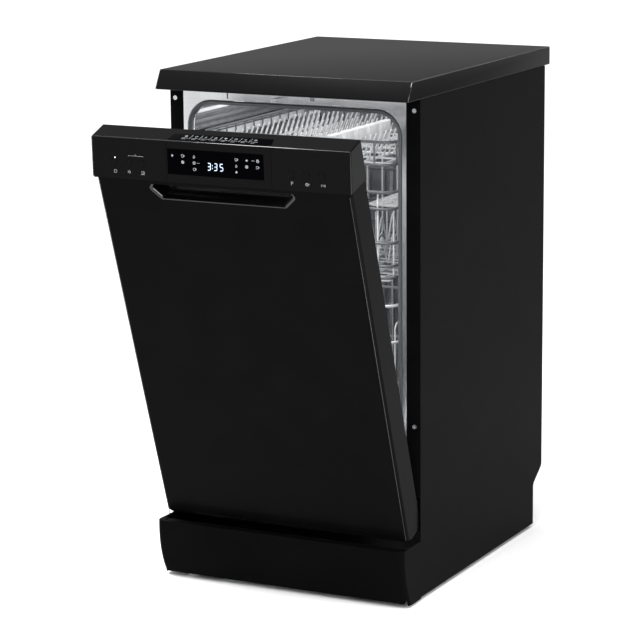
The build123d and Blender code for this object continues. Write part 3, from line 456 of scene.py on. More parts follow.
# %% Bent paths
def rounded(points, radius, closed=False, steps=5):
    """A bent path: each corner becomes an arc of the given radius, centred on the corner's bisector."""
    points = np.array(points, float)
    before, after = np.roll(points, 1, 0) - points, np.roll(points, -1, 0) - points
    if not closed:
        ends, points, before, after = points[[0, -1]], points[1:-1], before[1:-1], after[1:-1]
    before /= np.linalg.norm(before, axis=1, keepdims=True)
    after /= np.linalg.norm(after, axis=1, keepdims=True)
    half = np.arccos(np.clip((before * after).sum(1), -1, 1))[:, None] / 2
    bisector = (before + after) / np.linalg.norm(before + after, axis=1, keepdims=True)
    radius = np.broadcast_to(np.array(radius, float).reshape(-1, 1), half.shape)
    centre = points + bisector * radius / np.sin(half)
    start = points + before * radius / np.tan(half) - centre
    end = points + after * radius / np.tan(half) - centre
    turn, part = (np.pi - 2 * half)[:, None], np.linspace(0, 1, steps + 1)[None, :, None]
    arc = centre[:, None] + (
        start[:, None] * np.sin((1 - part) * turn) + end[:, None] * np.sin(part * turn)
    ) / np.sin(turn)
    path = arc.reshape(-1, 3)
    return path if closed else np.vstack((ends[:1], path, ends[1:]))


# %% [markdown]
# A wire, a seal or a rail is a loop carried along a path. At each path point the ring is the point
# plus the loop, whose first axis lies across the path and whose second stands on the path's plane.
# A curve object with a bevel would do the same, but this way the tips and counts are exact.

# %% Loops carried along a path
def round_loop(across, deep=None, sides=8):
    """An ellipse as (across, deep) pairs: sine and cosine of evenly spaced angles."""
    angle = 2 * np.pi * (np.arange(sides) + 0.5) / sides
    return np.column_stack((across * np.sin(angle), (deep or across) * np.cos(angle)))


def carried(path, loop, normal, closed=False, tip=0.0):
    """A loop carried along a flat path. Its first axis lies in the path's plane, its second along
    the plane's normal. A tip rounds the open ends with one smaller ring pushed out by that much."""
    path, normal = np.array(path, float), np.array(normal, float)
    tangent = np.roll(path, -1, 0) - np.roll(path, 1, 0) if closed else np.gradient(path, axis=0)
    tangent /= np.linalg.norm(tangent, axis=1, keepdims=True)
    side = np.cross(normal, tangent)
    rings = path[:, None] + loop[:, :1] * side[:, None] + loop[:, 1:] * normal
    if closed:
        return grid(rings, wrap_rows=True, wrap_columns=True)
    if tip:
        first = path[0] + (rings[0] - path[0]) * 0.55 - tangent[0] * tip
        last = path[-1] + (rings[-1] - path[-1]) * 0.55 + tangent[-1] * tip
        rings = np.concatenate((first[None], rings, last[None]))
    return closed_grid(rings)


def wire(path, radius, normal, closed=False, sides=8):
    """Round wire along a flat path, with rounded tips."""
    return carried(path, round_loop(radius, sides=sides), normal, closed, tip=radius * 0.6)


# %% [markdown]
# Mouldings never have truly sharp edges. A rounded block is eight corner centres, each with the
# radius times a unit vector that turns through a quarter circle, so one formula gives the faces,
# the rounded edges and the corners together. Round parts are a profile turned about an axis.

# %% Rounded blocks and turned parts
def block(low, high, radius=1.0, arc=2):
    """A box with rounded edges: each corner's centre plus radius times a turning unit vector."""
    low, high = np.array(low, float), np.array(high, float)
    quarter = np.linspace(0, np.pi / 2, arc + 1)
    turn = (quarter + np.pi / 2 * np.arange(4)[:, None]).ravel()
    rise = np.concatenate((quarter - np.pi / 2, quarter))
    sign = np.stack(np.broadcast_arrays(
        np.repeat([1, -1, -1, 1], arc + 1)[None], np.repeat([1, 1, -1, -1], arc + 1)[None],
        np.repeat([-1, 1], arc + 1)[:, None],
    ), -1)
    way = np.stack(np.broadcast_arrays(
        np.cos(rise)[:, None] * np.cos(turn), np.cos(rise)[:, None] * np.sin(turn),
        np.sin(rise)[:, None] + 0 * turn,
    ), -1)
    return closed_grid((low + high) / 2 + sign * ((high - low) / 2 - radius) + radius * way)


def turned(profile, centre, axis, sides=24):
    """A lathe shape: each (along, radius) pair of the profile swept round the axis."""
    axis = np.array(axis, float)
    first = np.cross(axis, [0.3, 0.5, 0.8])
    first /= np.linalg.norm(first)
    second = np.cross(axis, first)
    angle = 2 * np.pi * np.arange(sides)[:, None] / sides
    spoke = np.cos(angle) * first + np.sin(angle) * second
    profile = np.array(profile, float)
    return closed_grid(np.array(centre, float) + profile[:, :1, None] * axis
                       + profile[:, 1:, None] * spoke)


# %% [markdown]
# Pieces of the door are drawn with the door shut, where its faces are simple, and are then turned
# about the hinge to where it stands ajar. Each shape becomes one mesh at the origin. Doubles are
# merged, the faces of closed shapes are turned outwards, and edges over 38 degrees stay crisp.

# %% From shapes to pieces
def swing(points):
    """Points drawn with the door shut, turned about the hinge to where the door stands ajar."""
    away = points - HINGE
    return HINGE + np.stack((
        away[..., 0], away[..., 1] * np.cos(AJAR) - away[..., 2] * np.sin(AJAR),
        away[..., 1] * np.sin(AJAR) + away[..., 2] * np.cos(AJAR),
    ), -1)


CRISP_EDGE = np.radians(38)
DOUBLE = 1e-6


def piece(name, part, body, slot, material=None, on_door=False, replaces=(), solid=True):
    """Make the mesh, merge doubles, face it outwards, and say what it rides on and replaces."""
    points, faces = part
    points = swing(points) if on_door else points
    mesh = bpy.data.meshes.new(name)
    mesh.from_pydata((points * MM).tolist(), [], faces.tolist())
    shape = bmesh.new()
    shape.from_mesh(mesh)
    bmesh.ops.remove_doubles(shape, verts=shape.verts, dist=DOUBLE)
    bmesh.ops.dissolve_degenerate(shape, edges=shape.edges, dist=DOUBLE)
    if solid:
        bmesh.ops.recalc_face_normals(shape, faces=shape.faces)
    shape.to_mesh(mesh)
    shape.free()
    mesh.polygons.foreach_set("use_smooth", np.ones(len(mesh.polygons), bool))
    mesh.set_sharp_from_angle(angle=CRISP_EDGE)
    made = bpy.data.objects.new(name, mesh)
    bpy.context.scene.collection.objects.link(made)
    mesh.materials.append(material or finishes[slot])
    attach(made, body)
    if replaces:
        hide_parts(*replaces)
    print(name, len(mesh.polygons), "faces")
    return made


# %% [markdown]
# Each basket is a cage of bent wires: thick grey hoops round the outside, thinner white wires
# that run down one side, across the floor and up the other, and pairs of them joined by a bend at
# the top. A wire that runs in a zigzag between the floor and half height keeps dishes apart.

# %% Basket wires
RIM_R, WIRE_R = 2.4, 1.5     # radii of the hoops and of the thinner wires
BASKET_HALF = 170
X, Y, Z = np.eye(3)


def hoop(half, front, back, z, radius, bend=18):
    """A rectangle of wire with bent corners, lying flat."""
    path = [(-half, front, z), (half, front, z), (half, back, z), (-half, back, z)]
    return wire(rounded(path, bend, closed=True), radius, Z, closed=True, sides=10)


def cage(half, front, back, floor, rim, levels, pair_top):
    """The hoops; then the cross wires, joined in pairs at the top, and those from front to back."""
    inner = half - RIM_R - WIRE_R
    hoops = joined(*[hoop(half, front, back, level, RIM_R) for level in levels])
    parts = []
    bend, spread, pitch = 12, 33, 58
    low = floor - 2 * WIRE_R
    across = rounded([(-inner, 0, pair_top - bend), (-inner, 0, low), (inner, 0, low),
                      (inner, 0, pair_top - bend)], bend)
    first = np.arange(front + 16, back - 45, pitch)
    rows = np.sort(np.concatenate((first, first + spread)))
    parts.append(copies(wire(across, WIRE_R, Y), [(0, y, 0) for y in rows]))
    bridge = rounded([(inner, 0, pair_top - bend), (inner, 0, pair_top), (inner, spread, pair_top),
                      (inner, spread, pair_top - bend)], bend * 0.9)
    parts.append(mirrored(copies(wire(bridge, WIRE_R, X), [(0, y, 0) for y in first])))
    gap = RIM_R + WIRE_R
    along = rounded([(0, front + gap, rim), (0, front + gap, floor), (0, back - gap, floor),
                     (0, back - gap, rim)], bend)
    columns = np.linspace(26 - half, half - 26, 11)
    parts.append(copies(wire(along, WIRE_R, X), [(x, 0, 0) for x in columns]))
    return hoops, parts


def zigzag(x, front, back, low, high, pitch):
    """A wire that goes up and down between two heights, half a pitch at a time, with round tips."""
    y = np.arange(front, back, pitch / 2)
    z = np.where(np.arange(len(y)) % 2, high, low)
    return wire(rounded(np.column_stack((x + 0 * y, y, z)), 3.0, steps=3), WIRE_R, X, sides=6)


def pins(x, rows, low, high):
    """A row of upright pins welded on a wire along the floor."""
    pin = wire([(x, 0, low), (x, 0, high)], WIRE_R, Y)
    rail = wire([(x, rows[0] - 12, low), (x, rows[-1] + 12, low)], WIRE_R, X)
    return joined(copies(pin, [(0, y, 0) for y in rows]), rail)


# %% [markdown]
# The upper basket has grey hoops and white wires. Upright pins and zigzags hold cups and glasses.
# White runners with small rollers slide in the tub's rails, and a hub under the floor carries the
# upper spray arm. Heights start from the working basket's box, so the two agree.

# %% Upper basket
upper_low, upper_high = corners("upper_basket")
UPPER_FRONT, UPPER_BACK = upper_low[1] + 2.5, upper_high[1] - 2.5
UPPER_RIM, UPPER_FLOOR = upper_high[2] - 2.5, upper_low[2] + 30.7
upper_mid = (UPPER_FRONT + UPPER_BACK) / 2
RUNNER_Z = 570
RUNNER_IN, RUNNER_OUT = 175, 181


def upper_basket():
    """Grey hoops, and the white wires inside them."""
    hoops, parts = cage(BASKET_HALF, UPPER_FRONT, UPPER_BACK, UPPER_FLOOR, UPPER_RIM,
                        UPPER_FLOOR + np.array([4, 23, 60, 115, UPPER_RIM - UPPER_FLOOR]),
                        UPPER_RIM - 26)
    rows = np.linspace(UPPER_FRONT + 45, UPPER_BACK - 45, 8)
    parts += [pins(x, rows, UPPER_FLOOR + 2, UPPER_FLOOR + 78) for x in (-60, 60)]
    parts += [zigzag(x, UPPER_FRONT + 20, UPPER_BACK - 20, UPPER_FLOOR + 3, UPPER_FLOOR + 58, 44)
              for x in (-112, 112, 28)]
    parts.append(mirrored(wire([(BASKET_HALF - 4, UPPER_FRONT + 6, UPPER_RIM - 12),
                                (BASKET_HALF - 4, UPPER_BACK - 6, UPPER_RIM - 12)], WIRE_R, X)))
    return hoops, joined(*parts)


def upper_fittings():
    """White runners with rollers, carrier plates, the front grip and the spray hub."""
    runner = block((RUNNER_IN, UPPER_FRONT + 12, RUNNER_Z - 5),
                   (RUNNER_OUT, UPPER_BACK - 4, RUNNER_Z + 5), 2)
    wheel = turned([(-2.4, 0.5), (-2.4, 5.6), (-1.6, 6.6), (1.6, 6.6), (2.4, 5.6), (2.4, 0.5)],
                   (180.4, 0, RUNNER_Z), X)
    wheels = copies(wheel, [(0, y, 0) for y in (UPPER_FRONT + 22, UPPER_FRONT + 130, UPPER_BACK - 16)])
    plate = block((172.8, 0, RUNNER_Z - 8), (175.6, 24, RUNNER_Z + 30), 1.2)
    plates = copies(plate, [(0, y, 0) for y in (UPPER_FRONT + 34, upper_mid - 12, UPPER_BACK - 64)])
    grip = block((-52, UPPER_FRONT - 2.3, UPPER_RIM - 20), (52, UPPER_FRONT + 7, UPPER_RIM + 2.3), 2.2)
    hub = turned([(30, 4), (30, 10), (17.4, 10), (16.6, 6), (4, 6), (2.4, 10.6), (0.4, 11), (0, 5)],
                 (0, upper_mid, upper_low[2]), Z)
    return joined(mirrored(joined(runner, wheels, plates)), grip, hub)


hoops, wires = upper_basket()
piece("upper_basket_hoops", hoops, "upper_basket", "coated_wire", dark_coat, replaces=("upper_basket",))
piece("upper_basket_wires", wires, "upper_basket", "coated_wire")
piece("upper_basket_fittings", upper_fittings(), "upper_basket", "pale_plastic")

# %% [markdown]
# The lower basket is deeper and all white. Two rows of tall pins stand plates on edge, a third row
# folds down on its own axle, and four wheels on moulded axle plates roll on the tub's ledges.

# %% Lower basket
lower_low, lower_high = corners("lower_basket")
LOWER_FRONT, LOWER_BACK = lower_low[1] + 2.5, lower_high[1] - 2.5
LOWER_RIM, LOWER_FLOOR = lower_high[2] - 2.5, lower_low[2] + 21
AXLES = [corners(f"lower_wheels_{end}")[0] / 2 + corners(f"lower_wheels_{end}")[1] / 2
         for end in ("front", "rear")]


def lower_basket():
    """Cage, two rows of plate pins and a zigzag for pans."""
    hoops, parts = cage(BASKET_HALF, LOWER_FRONT, LOWER_BACK, LOWER_FLOOR, LOWER_RIM,
                        (LOWER_FLOOR + 4, 330, LOWER_RIM - 60, LOWER_RIM), LOWER_RIM - 30)
    rows = np.linspace(LOWER_FRONT + 45, LOWER_BACK - 45, 10)
    parts += [pins(x, rows, LOWER_FLOOR + 3, LOWER_FLOOR + 100) for x in (60, 105)]
    parts.append(zigzag(-112, LOWER_FRONT + 20, LOWER_BACK - 20, LOWER_FLOOR + 3, LOWER_FLOOR + 48, 44))
    return joined(hoops, *parts)


def lower_fittings():
    """Axle plates with a stub for each wheel, and the front grip."""
    parts = []
    for centre in AXLES:
        z = centre[2]
        plate = block((161, centre[1] - 9, z - 6.3), (167, centre[1] + 9, LOWER_FLOOR + 6), 1.5)
        stub = turned([(0, 2), (0, 5), (3.4, 5), (3.6, 3), (14, 3), (14, 1)],
                      (166.8, centre[1], z), X)
        parts.append(mirrored(joined(plate, stub)))
    grip = block((-60, LOWER_FRONT - 2.3, LOWER_RIM - 22), (60, LOWER_FRONT + 7, LOWER_RIM + 2.3), 2.2)
    return joined(grip, *parts)


piece("lower_basket_wires", lower_basket(), "lower_basket", "coated_wire", replaces=("lower_basket",))
piece("lower_basket_fittings", lower_fittings(), "lower_basket", "grey_plastic")

# %% [markdown]
# The four wheels are small mouldings with a rounded tyre edge, a hub, and five spokes. Each is a
# ring and a hub from the lathe with rounded bars between, so it stays light and reads as moulded.

# %% Wheels and folding tines
for end, centre in zip(("front", "rear"), AXLES):
    middle = (174.5, centre[1], centre[2])
    tyre = turned([(-4.4, 9), (-4.4, 11), (-3.2, 11.9), (3.2, 11.9), (4.4, 11), (4.4, 9), (-4.4, 9)],
                  middle, X, 32)
    hub = turned([(-4.4, 3.1), (-4.4, 5.2), (4.4, 5.2), (4.4, 3.1), (-4.4, 3.1)], middle, X, 20)
    turn = 2 * np.pi * np.arange(5) / 5
    spokes = [wire([np.array(middle) + 4.6 * (np.cos(a) * Y + np.sin(a) * Z),
                    np.array(middle) + 9.6 * (np.cos(a) * Y + np.sin(a) * Z)], 1.7, X, sides=8)
              for a in turn]
    piece(f"wheels_{end}", mirrored(joined(tyre, hub, *spokes)), f"lower_wheels_{end}",
          "pale_plastic", replaces=(f"lower_wheels_{end}",))

tine_low, tine_high = corners("folding_tines")
TINE_X, TINE_Z = (tine_low[0] + tine_high[0]) / 2, tine_low[2] + 2
tine_rows = np.linspace(tine_low[1] + 47.5, tine_high[1] - 47.5, 9)
axle = wire([(TINE_X, tine_low[1] + 1, TINE_Z), (TINE_X, tine_high[1] - 1, TINE_Z)], 1.9, X)
tines = copies(wire([(TINE_X, 0, TINE_Z), (TINE_X, 0, tine_high[2] - 1)], WIRE_R, Y),
               [(0, y, 0) for y in tine_rows])
piece("folding_tine_row", joined(axle, tines), "folding_tines", "coated_wire",
      replaces=("folding_tines",))

# %% [markdown]
# The cutlery tray is a wire frame that carries a moulded grid, with combs of upright teeth that
# hold each knife and fork, and a bar of five white clips down the middle. The teeth are copies of
# one small rounded block, moved to every place at once.

# %% Cutlery tray
tray_low, tray_high = corners("cutlery_tray")
TRAY_FLOOR, TRAY_RIM = tray_low[2] + 2.5, tray_high[2] - 2.5


def tray_frame():
    """Two hoops with short uprights between them."""
    post = wire([(0, 0, TRAY_FLOOR), (0, 0, TRAY_RIM)], WIRE_R, Y)
    rows = np.linspace(UPPER_FRONT + 20, UPPER_BACK - 20, 12)
    columns = np.linspace(-140, 140, 9)
    places = [(s * BASKET_HALF, y, 0) for s in (-1, 1) for y in rows]
    places += [(x, y, 0) for x in columns for y in (UPPER_FRONT, UPPER_BACK)]
    return joined(hoop(BASKET_HALF, UPPER_FRONT, UPPER_BACK, TRAY_FLOOR, RIM_R),
                  hoop(BASKET_HALF, UPPER_FRONT, UPPER_BACK, TRAY_RIM, RIM_R), copies(post, places))


def tray_moulding():
    """Slats along, thinner ribs across, combs of teeth, and a runner on each side."""
    slat = block((-1.6, UPPER_FRONT + 3, TRAY_FLOOR - 2), (1.6, UPPER_BACK - 3, TRAY_FLOOR + 2), 0.8, 1)
    slats = copies(slat, [(x, 0, 0) for x in np.linspace(-150, 150, 9)])
    rib = block((-164, -1.2, TRAY_FLOOR - 1.5), (164, 1.2, TRAY_FLOOR + 1.5), 0.6, 1)
    ribs = copies(rib, [(0, y, 0) for y in np.arange(UPPER_FRONT + 18, UPPER_BACK - 10, 52)])
    tooth = carried([(-5, 0, TRAY_FLOOR), (7, 0, TRAY_RIM - 5)], round_loop(1.4, 2.4, 6), Y, tip=1)
    rows = np.arange(UPPER_FRONT + 24, UPPER_BACK - 20, 19)
    teeth = copies(tooth, [(x, y, 0) for x in (-146, -110, -74, -37, 0, 80, 122) for y in rows])
    runner = block((RUNNER_IN, UPPER_FRONT + 12, 722), (RUNNER_OUT, UPPER_BACK - 4, 734), 2)
    arm = block((BASKET_HALF - 1, -7, 726), (RUNNER_IN + 1, 7, 730), 1)
    arms = copies(arm, [(0, y, 0) for y in (UPPER_FRONT + 40, upper_mid, UPPER_BACK - 50)])
    return joined(slats, ribs, teeth, mirrored(joined(runner, arms)))


def tray_clips():
    """Five white clips, each a rounded block with a shallow cap, on a thin keel."""
    start = UPPER_FRONT + 50
    clip = joined(block((29, 2, TRAY_FLOOR + 14), (41, 38, TRAY_RIM - 2), 2.4, 3),
                  block((31, 4, TRAY_FLOOR + 4), (39, 36, TRAY_FLOOR + 18), 1.5))
    keel = block((32.5, start - 6, TRAY_FLOOR), (37.5, start + 230, TRAY_FLOOR + 20), 1.5)
    return joined(copies(clip, [(0, start + 46 * i, 0) for i in range(5)]), keel)


piece("cutlery_tray_frame", tray_frame(), "cutlery_tray", "coated_wire", dark_coat,
      replaces=("cutlery_tray",))
piece("cutlery_tray_grid", tray_moulding(), "cutlery_tray", "pale_plastic")
piece("cutlery_tray_clips", tray_clips(), "cutlery_tray", "pale_plastic")

# %% [markdown]
# A cup shelf is a flap of thin plastic ribs inside a rounded frame, folding up about a rod at the
# basket's side. Open ribs let water through, and their rounded frame is one bent path.

# %% Cup shelves
for side, label in ((-1, "cup_shelf_left"), (1, "cup_shelf_right")):
    shelf_low, shelf_high = corners(label)
    z = (shelf_low[2] + shelf_high[2]) / 2
    far = side * 160
    front, back = shelf_low[1], shelf_high[1]
    edge = carried(rounded([(far, front + 2, z), (side * 102, front + 2, z), (side * 102, back - 2, z),
                            (far, back - 2, z)], 14), round_loop(2.2, 1.8), Z)
    near_x, far_x = sorted((side * 103, far))
    rib = block((near_x, -1.4, z - 1.4), (far_x, 1.4, z + 1.4), 0.8, 1)
    ribs = copies(rib, [(0, y, 0) for y in np.arange(front + 14, back - 8, 13.5)])
    spine = block((side * 128 - 2, front + 3, z - 1.6), (side * 128 + 2, back - 3, z + 1.6), 1)
    barrel = turned([(0, 0.5), (0, 2.6), (1, 2.9), (back - front - 1, 2.9), (back - front, 2.6),
                     (back - front, 0.5)], (far, front, z), Y)
    piece(f"{label}_flap", joined(edge, ribs, spine, barrel), label, "pale_plastic", replaces=(label,))

# %% [markdown]
# The tub's walls are thin sheet with patterns pressed in to stiffen them. A wall is a height over
# a flat grid: each groove is a smooth valley exp(-(d/w)^2) in the distance d from its line, and
# the lines on the back wall run upright with one jog. A solidify modifier gives the sheet its wall.

# %% Pressed walls of the tub
TUB_HALF, WALL = 196, 1.0
tub_low, tub_high = corners("tub_side_left")
TUB_BACK = tub_high[1]


def smooth(value):
    """0 below 0, 1 above 1, and an even S between."""
    value = np.clip(value, 0, 1)
    return value * value * (3 - 2 * value)


def back_wall():
    """Height = a shallow dish, less six mirrored grooves whose lines jog by 20 mm."""
    x = np.linspace(-TUB_HALF, TUB_HALF, 230)[:, None]
    z = np.linspace(tub_low[2], tub_high[2] - 1, 180)[None]
    height = 3.0 * smooth((TUB_HALF - 14 - abs(x)) / 10) * smooth((z - 200) / 14) * smooth((782 - z) / 14)
    for k in range(3):
        jog = 20 * smooth((663 + 7 * k - z) / 9)
        for line in (89 - 16 * k - jog, 150 - 16 * k - jog):
            height = height - 2.6 * np.exp(-((abs(x) - line) / 2.6) ** 2)
    for level in (300, 380, 460):
        height = height - 2.2 * np.exp(-((z - level) / 4) ** 2) * smooth((150 - abs(x)) / 8)
    return grid(np.stack(np.broadcast_arrays(x, TUB_BACK - 0.4 - height, z), -1))


def side_wall():
    """Height = two long raised ribs and one broad panel."""
    y = np.linspace(tub_low[1], TUB_BACK - 1, 160)[:, None]
    z = np.linspace(tub_low[2], tub_high[2] - 1, 200)[None]
    ends = smooth((y - tub_low[1] - 18) / 14) * smooth((TUB_BACK - 20 - y) / 14)
    height = 0 * y * z
    for level in (250, 520, 650, 765):
        height = height + 2.0 * np.exp(-((z - level) / 5) ** 4) * ends
    height = height + 1.5 * smooth((z - 290) / 10) * smooth((480 - z) / 10) * ends
    return grid(np.stack(np.broadcast_arrays(TUB_HALF - height, y, z), -1))


def sheet(name, part, replaces):
    """A pressed sheet as a piece, thickened away from the tub's inside."""
    made = piece(name, part, "cabinet", "stainless", replaces=replaces, solid=False)
    wall = made.modifiers.new("sheet", "SOLIDIFY")
    wall.thickness, wall.offset = WALL * MM, 1
    return made


wall_points, wall_faces = side_wall()
sheet("tub_wall_right", (wall_points, wall_faces), ("tub_side_right",))
sheet("tub_wall_left", (wall_points * (-1, 1, 1), wall_faces[:, ::-1]), ("tub_side_left",))
sheet("tub_wall_back", back_wall(), ("tub_back",))

# %% [markdown]
# The worktop is a board whose front leans back and whose edges are eased to a two-millimetre
# radius. Its section is carried from side to side, and near each end the section shrinks along a
# quarter circle, inset = r(1 - sin a) at r(1 - cos a) from the end, so the ends are eased as well.

# %% Worktop
board_low, board_high = corners("worktop")
EASE = 2.0


def worktop_board():
    """The leaning section, eased, with eased ends."""
    front_top = CASE_FRONT - 31
    rings = []
    for side in (-1, 1):
        for a in np.linspace(0, np.pi / 2, 5)[::-side]:
            inset = EASE * (1 - np.sin(a))
            x = side * (board_high[0] - EASE * (1 - np.cos(a)))
            low, high = board_low[2] + inset, board_high[2] - inset
            section = [(x, board_low[1] + inset, low), (x, front_top + inset, high),
                       (x, board_high[1] - inset, high), (x, board_high[1] - inset, low)]
            rings.append(rounded(section, EASE - inset * 0.9, closed=True))
    return closed_grid(np.array(rings))


def edge_band():
    """Polished trim on the eased edges: along the front, up the front corners and down the sides."""
    x, top, back = board_high[0] - 1.0, board_high[2] - 0.95, board_high[1] - 3
    front, foot = CASE_FRONT - 31 + 0.6, (board_low[1] + 1.4, board_low[2] + 1.5)
    across = wire([(-x, front, top), (x, front, top)], 0.9, Z)
    side = wire(rounded([(x, *foot), (x, front, top), (x, back, top)], 2, steps=3), 0.9, X)
    return joined(across, mirrored(side))


piece("worktop_board", worktop_board(), "cabinet", "worktop_laminate", replaces=("worktop",))
piece("worktop_edge_band", edge_band(), "cabinet", "worktop_laminate", gloss_abs)

# %% [markdown]
# The door seal is a hollow rubber bulb pushed on round the mouth. Its section is a soft oval with
# a dent, carried up one side, round the top corners and down the other. Just inside it the steel
# edge of the tub is rolled into a bead, which catches the light as a thin bright line.

# %% Door seal and rolled tub edge
SEAL_FOOT, MOUTH_HALF, MOUTH_TOP, MOUTH_R = 178, 184.5, 788, 36


def mouth(grow, foot, y):
    """The mouth's outline, grown by so much: up, over and down, with round top corners."""
    half, top = MOUTH_HALF + grow, MOUTH_TOP + grow
    return rounded([(-half, y, foot), (-half, y, top), (half, y, top), (half, y, foot)],
                   MOUTH_R + grow, steps=14)


angle = 2 * np.pi * np.arange(20) / 20
oval = np.column_stack((3.2 * np.cos(angle), 3.6 * np.sin(angle)))
bulb = (1 + 0.16 * np.cos(3 * angle))[:, None] * oval
piece("door_seal", carried(mouth(3.9, SEAL_FOOT, CASE_FRONT + 1.7), bulb, Y), "cabinet", "rubber_grey",
      replaces=("door_gasket",))
piece("tub_edge_bead", carried(mouth(1.2, SEAL_FOOT + 1, CASE_FRONT + 8), round_loop(1.5, sides=10), Y),
      "cabinet", "stainless")

# %% [markdown]
# A spray arm is two moulded blades that swell towards a round hub. Along its length the half
# width is 16 mm, closing as a rounded tip, plus a bell-shaped swell at the middle, and each
# section is a flat oval. Small rings on top are the jets.

# %% Spray arms
def spray_arm(node_name):
    """Blade surface, hub dome and jets, inside the node's box."""
    low, high = corners(node_name)
    centre, reach, thick = (low + high) / 2, (high[0] - low[0]) / 2 - 0.5, (high[2] - low[2]) / 2 - 0.3
    along = np.sin(np.linspace(-np.pi / 2, np.pi / 2, 61))[:, None]
    half = 15.5 * (1 - abs(along) ** 12) ** 0.5 + 9 * np.exp(-(along * reach / 34) ** 2) + 0.02
    around = 2 * np.pi * np.arange(24)[None] / 24
    flat = np.sign(np.sin(around)) * abs(np.sin(around)) ** 0.7
    rise = thick * (0.35 + 0.65 * np.minimum(1, half / 15))
    blade = closed_grid(centre + np.stack((
        along * reach + 0 * around, half * np.cos(around), rise * flat), -1))
    hub = turned([(-thick, 8), (-thick, 24), (1 - thick, 25.6), (thick - 1.4, 25.6), (thick, 22),
                  (thick, 13), (thick - 1, 12), (thick - 1, 7)], centre, Z, 36)
    jet = turned([(0, 0.6), (0, 2.4), (0.5, 2.9), (0.9, 2.2), (0.9, 1.2), (0.4, 0.8)], (0, 0, 0), Z, 12)
    jets = [(centre[0] + s * d, centre[1] + s * 5, centre[2] + thick - 0.9)
            for d in (42, 62, 82, 102, 122, 138) for s in (-1, 1)]
    return joined(blade, hub, copies(jet, jets))


for label in ("lower_spray_arm", "upper_spray_arm"):
    piece(f"{label}_moulding", spray_arm(label), label, "grey_plastic", replaces=(label,))

# %% [markdown]
# The handle is a wide pocket below the control panel. Its edge is rolled: a quarter circle of
# radius r turns the door's face into the pocket's wall, with r large on the slanted ends and
# small above and below, so the ends show as broad highlights and the lip as a thin one.

# %% Handle pocket
DOOR_FRONT = CASE_FRONT - 57
POCKET_TOP, POCKET_FOOT = 742.5, 718
POCKET_HEAD_HALF, POCKET_FOOT_HALF = 135, 108
POCKET_DEEP = 28


def handle_pocket():
    """Outline point + inward normal x offset, and a depth, for each step of the rolled section."""
    outline = rounded([(-POCKET_HEAD_HALF, 0, POCKET_TOP), (-POCKET_FOOT_HALF, 0, POCKET_FOOT),
                       (POCKET_FOOT_HALF, 0, POCKET_FOOT), (POCKET_HEAD_HALF, 0, POCKET_TOP)],
                      6, closed=True, steps=8)
    tangent = np.roll(outline, -1, 0) - np.roll(outline, 1, 0)
    tangent /= np.linalg.norm(tangent, axis=1, keepdims=True)
    inward = np.cross(tangent, Y) * -1
    inward *= np.sign((inward * ([0, 0, (POCKET_TOP + POCKET_FOOT) / 2] - outline)).sum(1))[:, None]
    slant = abs(inward[:, :1])
    roll = np.where(inward[:, 2:] > 0, 1.1, 0.3) + 3.9 * smooth(slant / 0.6)
    turn = np.linspace(0, np.pi / 2, 9)
    proud = DOOR_FRONT - 0.3 + 0.8 * smooth(-inward[:, 2:] / 0.8)
    rings = [outline - 0.8 * inward + Y * (DOOR_FRONT + 0.8), outline - 0.8 * inward + Y * proud]
    rings += [outline + roll * np.sin(a) * inward + Y * (proud + roll * (1 - np.cos(a)))
              for a in turn]
    rings += [outline + (roll + 0.6) * inward + Y * (DOOR_FRONT + POCKET_DEEP - 2),
              outline + (roll + 2.4) * inward + Y * (DOOR_FRONT + POCKET_DEEP)]
    points, faces = grid(np.array(rings), wrap_columns=True)
    last = np.arange(len(outline)) + (len(rings) - 1) * len(outline)
    return points, np.concatenate((faces[:, ::-1], lid(last)))


piece("handle_pocket_shell", handle_pocket(), "door", "black_abs", gloss_abs, on_door=True,
      replaces=("handle_pocket",), solid=False)

# %% [markdown]
# The control panel leans back from its foot. Marks on it are flat ribbons of ink or light, drawn
# as strokes in two numbers, across and up the face, then laid on the leaning plane. Symbols are
# plain shapes made of arcs and short lines. The digits are seven-stroke figures.

# %% The leaning face and its ribbons
FOOT, BROW = np.array([CASE_FRONT - 60, 749.5]), np.array([CASE_FRONT - 42, 812.0])
UP = np.array([0, *(BROW - FOOT)]) / np.linalg.norm(BROW - FOOT)
OUT = np.array([0, -UP[2], UP[1]])
FACE_MIDDLE = np.array([0, *(FOOT + BROW) / 2])
TOP_BACK = np.array([0, 37.4, 1.5]) / np.linalg.norm([37.4, 1.5])


def ribbon(strokes, width, lift, origin, up, out, closed=False):
    """Each stroke, a list of (across, up) pairs, as a thin flat ribbon lying on a plane."""
    parts = []
    for stroke in strokes:
        stroke = np.array(stroke, float)
        path = origin + stroke[:, :1] * X + stroke[:, 1:] * up + out * lift
        ring = np.linalg.norm(stroke[0] - stroke[-1]) < 1e-6 and len(stroke) > 3
        parts.append(carried(path[:-1] if ring else path, round_loop(width / 2, 0.05, 4), out, ring))
    return joined(*parts)


def arc(x, y, radius, start=0, end=360, steps=14):
    """Points round part of a circle."""
    angle = np.radians(np.linspace(start, end, steps + 1))
    return np.column_stack((x + radius * np.cos(angle), y + radius * np.sin(angle)))


def on_face(strokes, width, lift=0.05):
    return ribbon(strokes, width, lift, FACE_MIDDLE, UP, OUT)


# %% [markdown]
# Household symbols are simple line drawings: a plate is two rings, a cup is a bowl with an ear, a
# drop, a clock and a snowflake. Each is a function of its middle, and returns its strokes.

# %% Symbols of the display
def plate_sign(x, y):
    return [arc(x, y, 2.1), arc(x, y, 1.1)]


def cup_sign(x, y):
    return [[(x - 2, y + 2), (x - 1.4, y - 1.6), (x + 1.4, y - 1.6), (x + 2, y + 2), (x - 2, y + 2)],
            arc(x + 2, y + 0.4, 1.1, -80, 80, 6)]


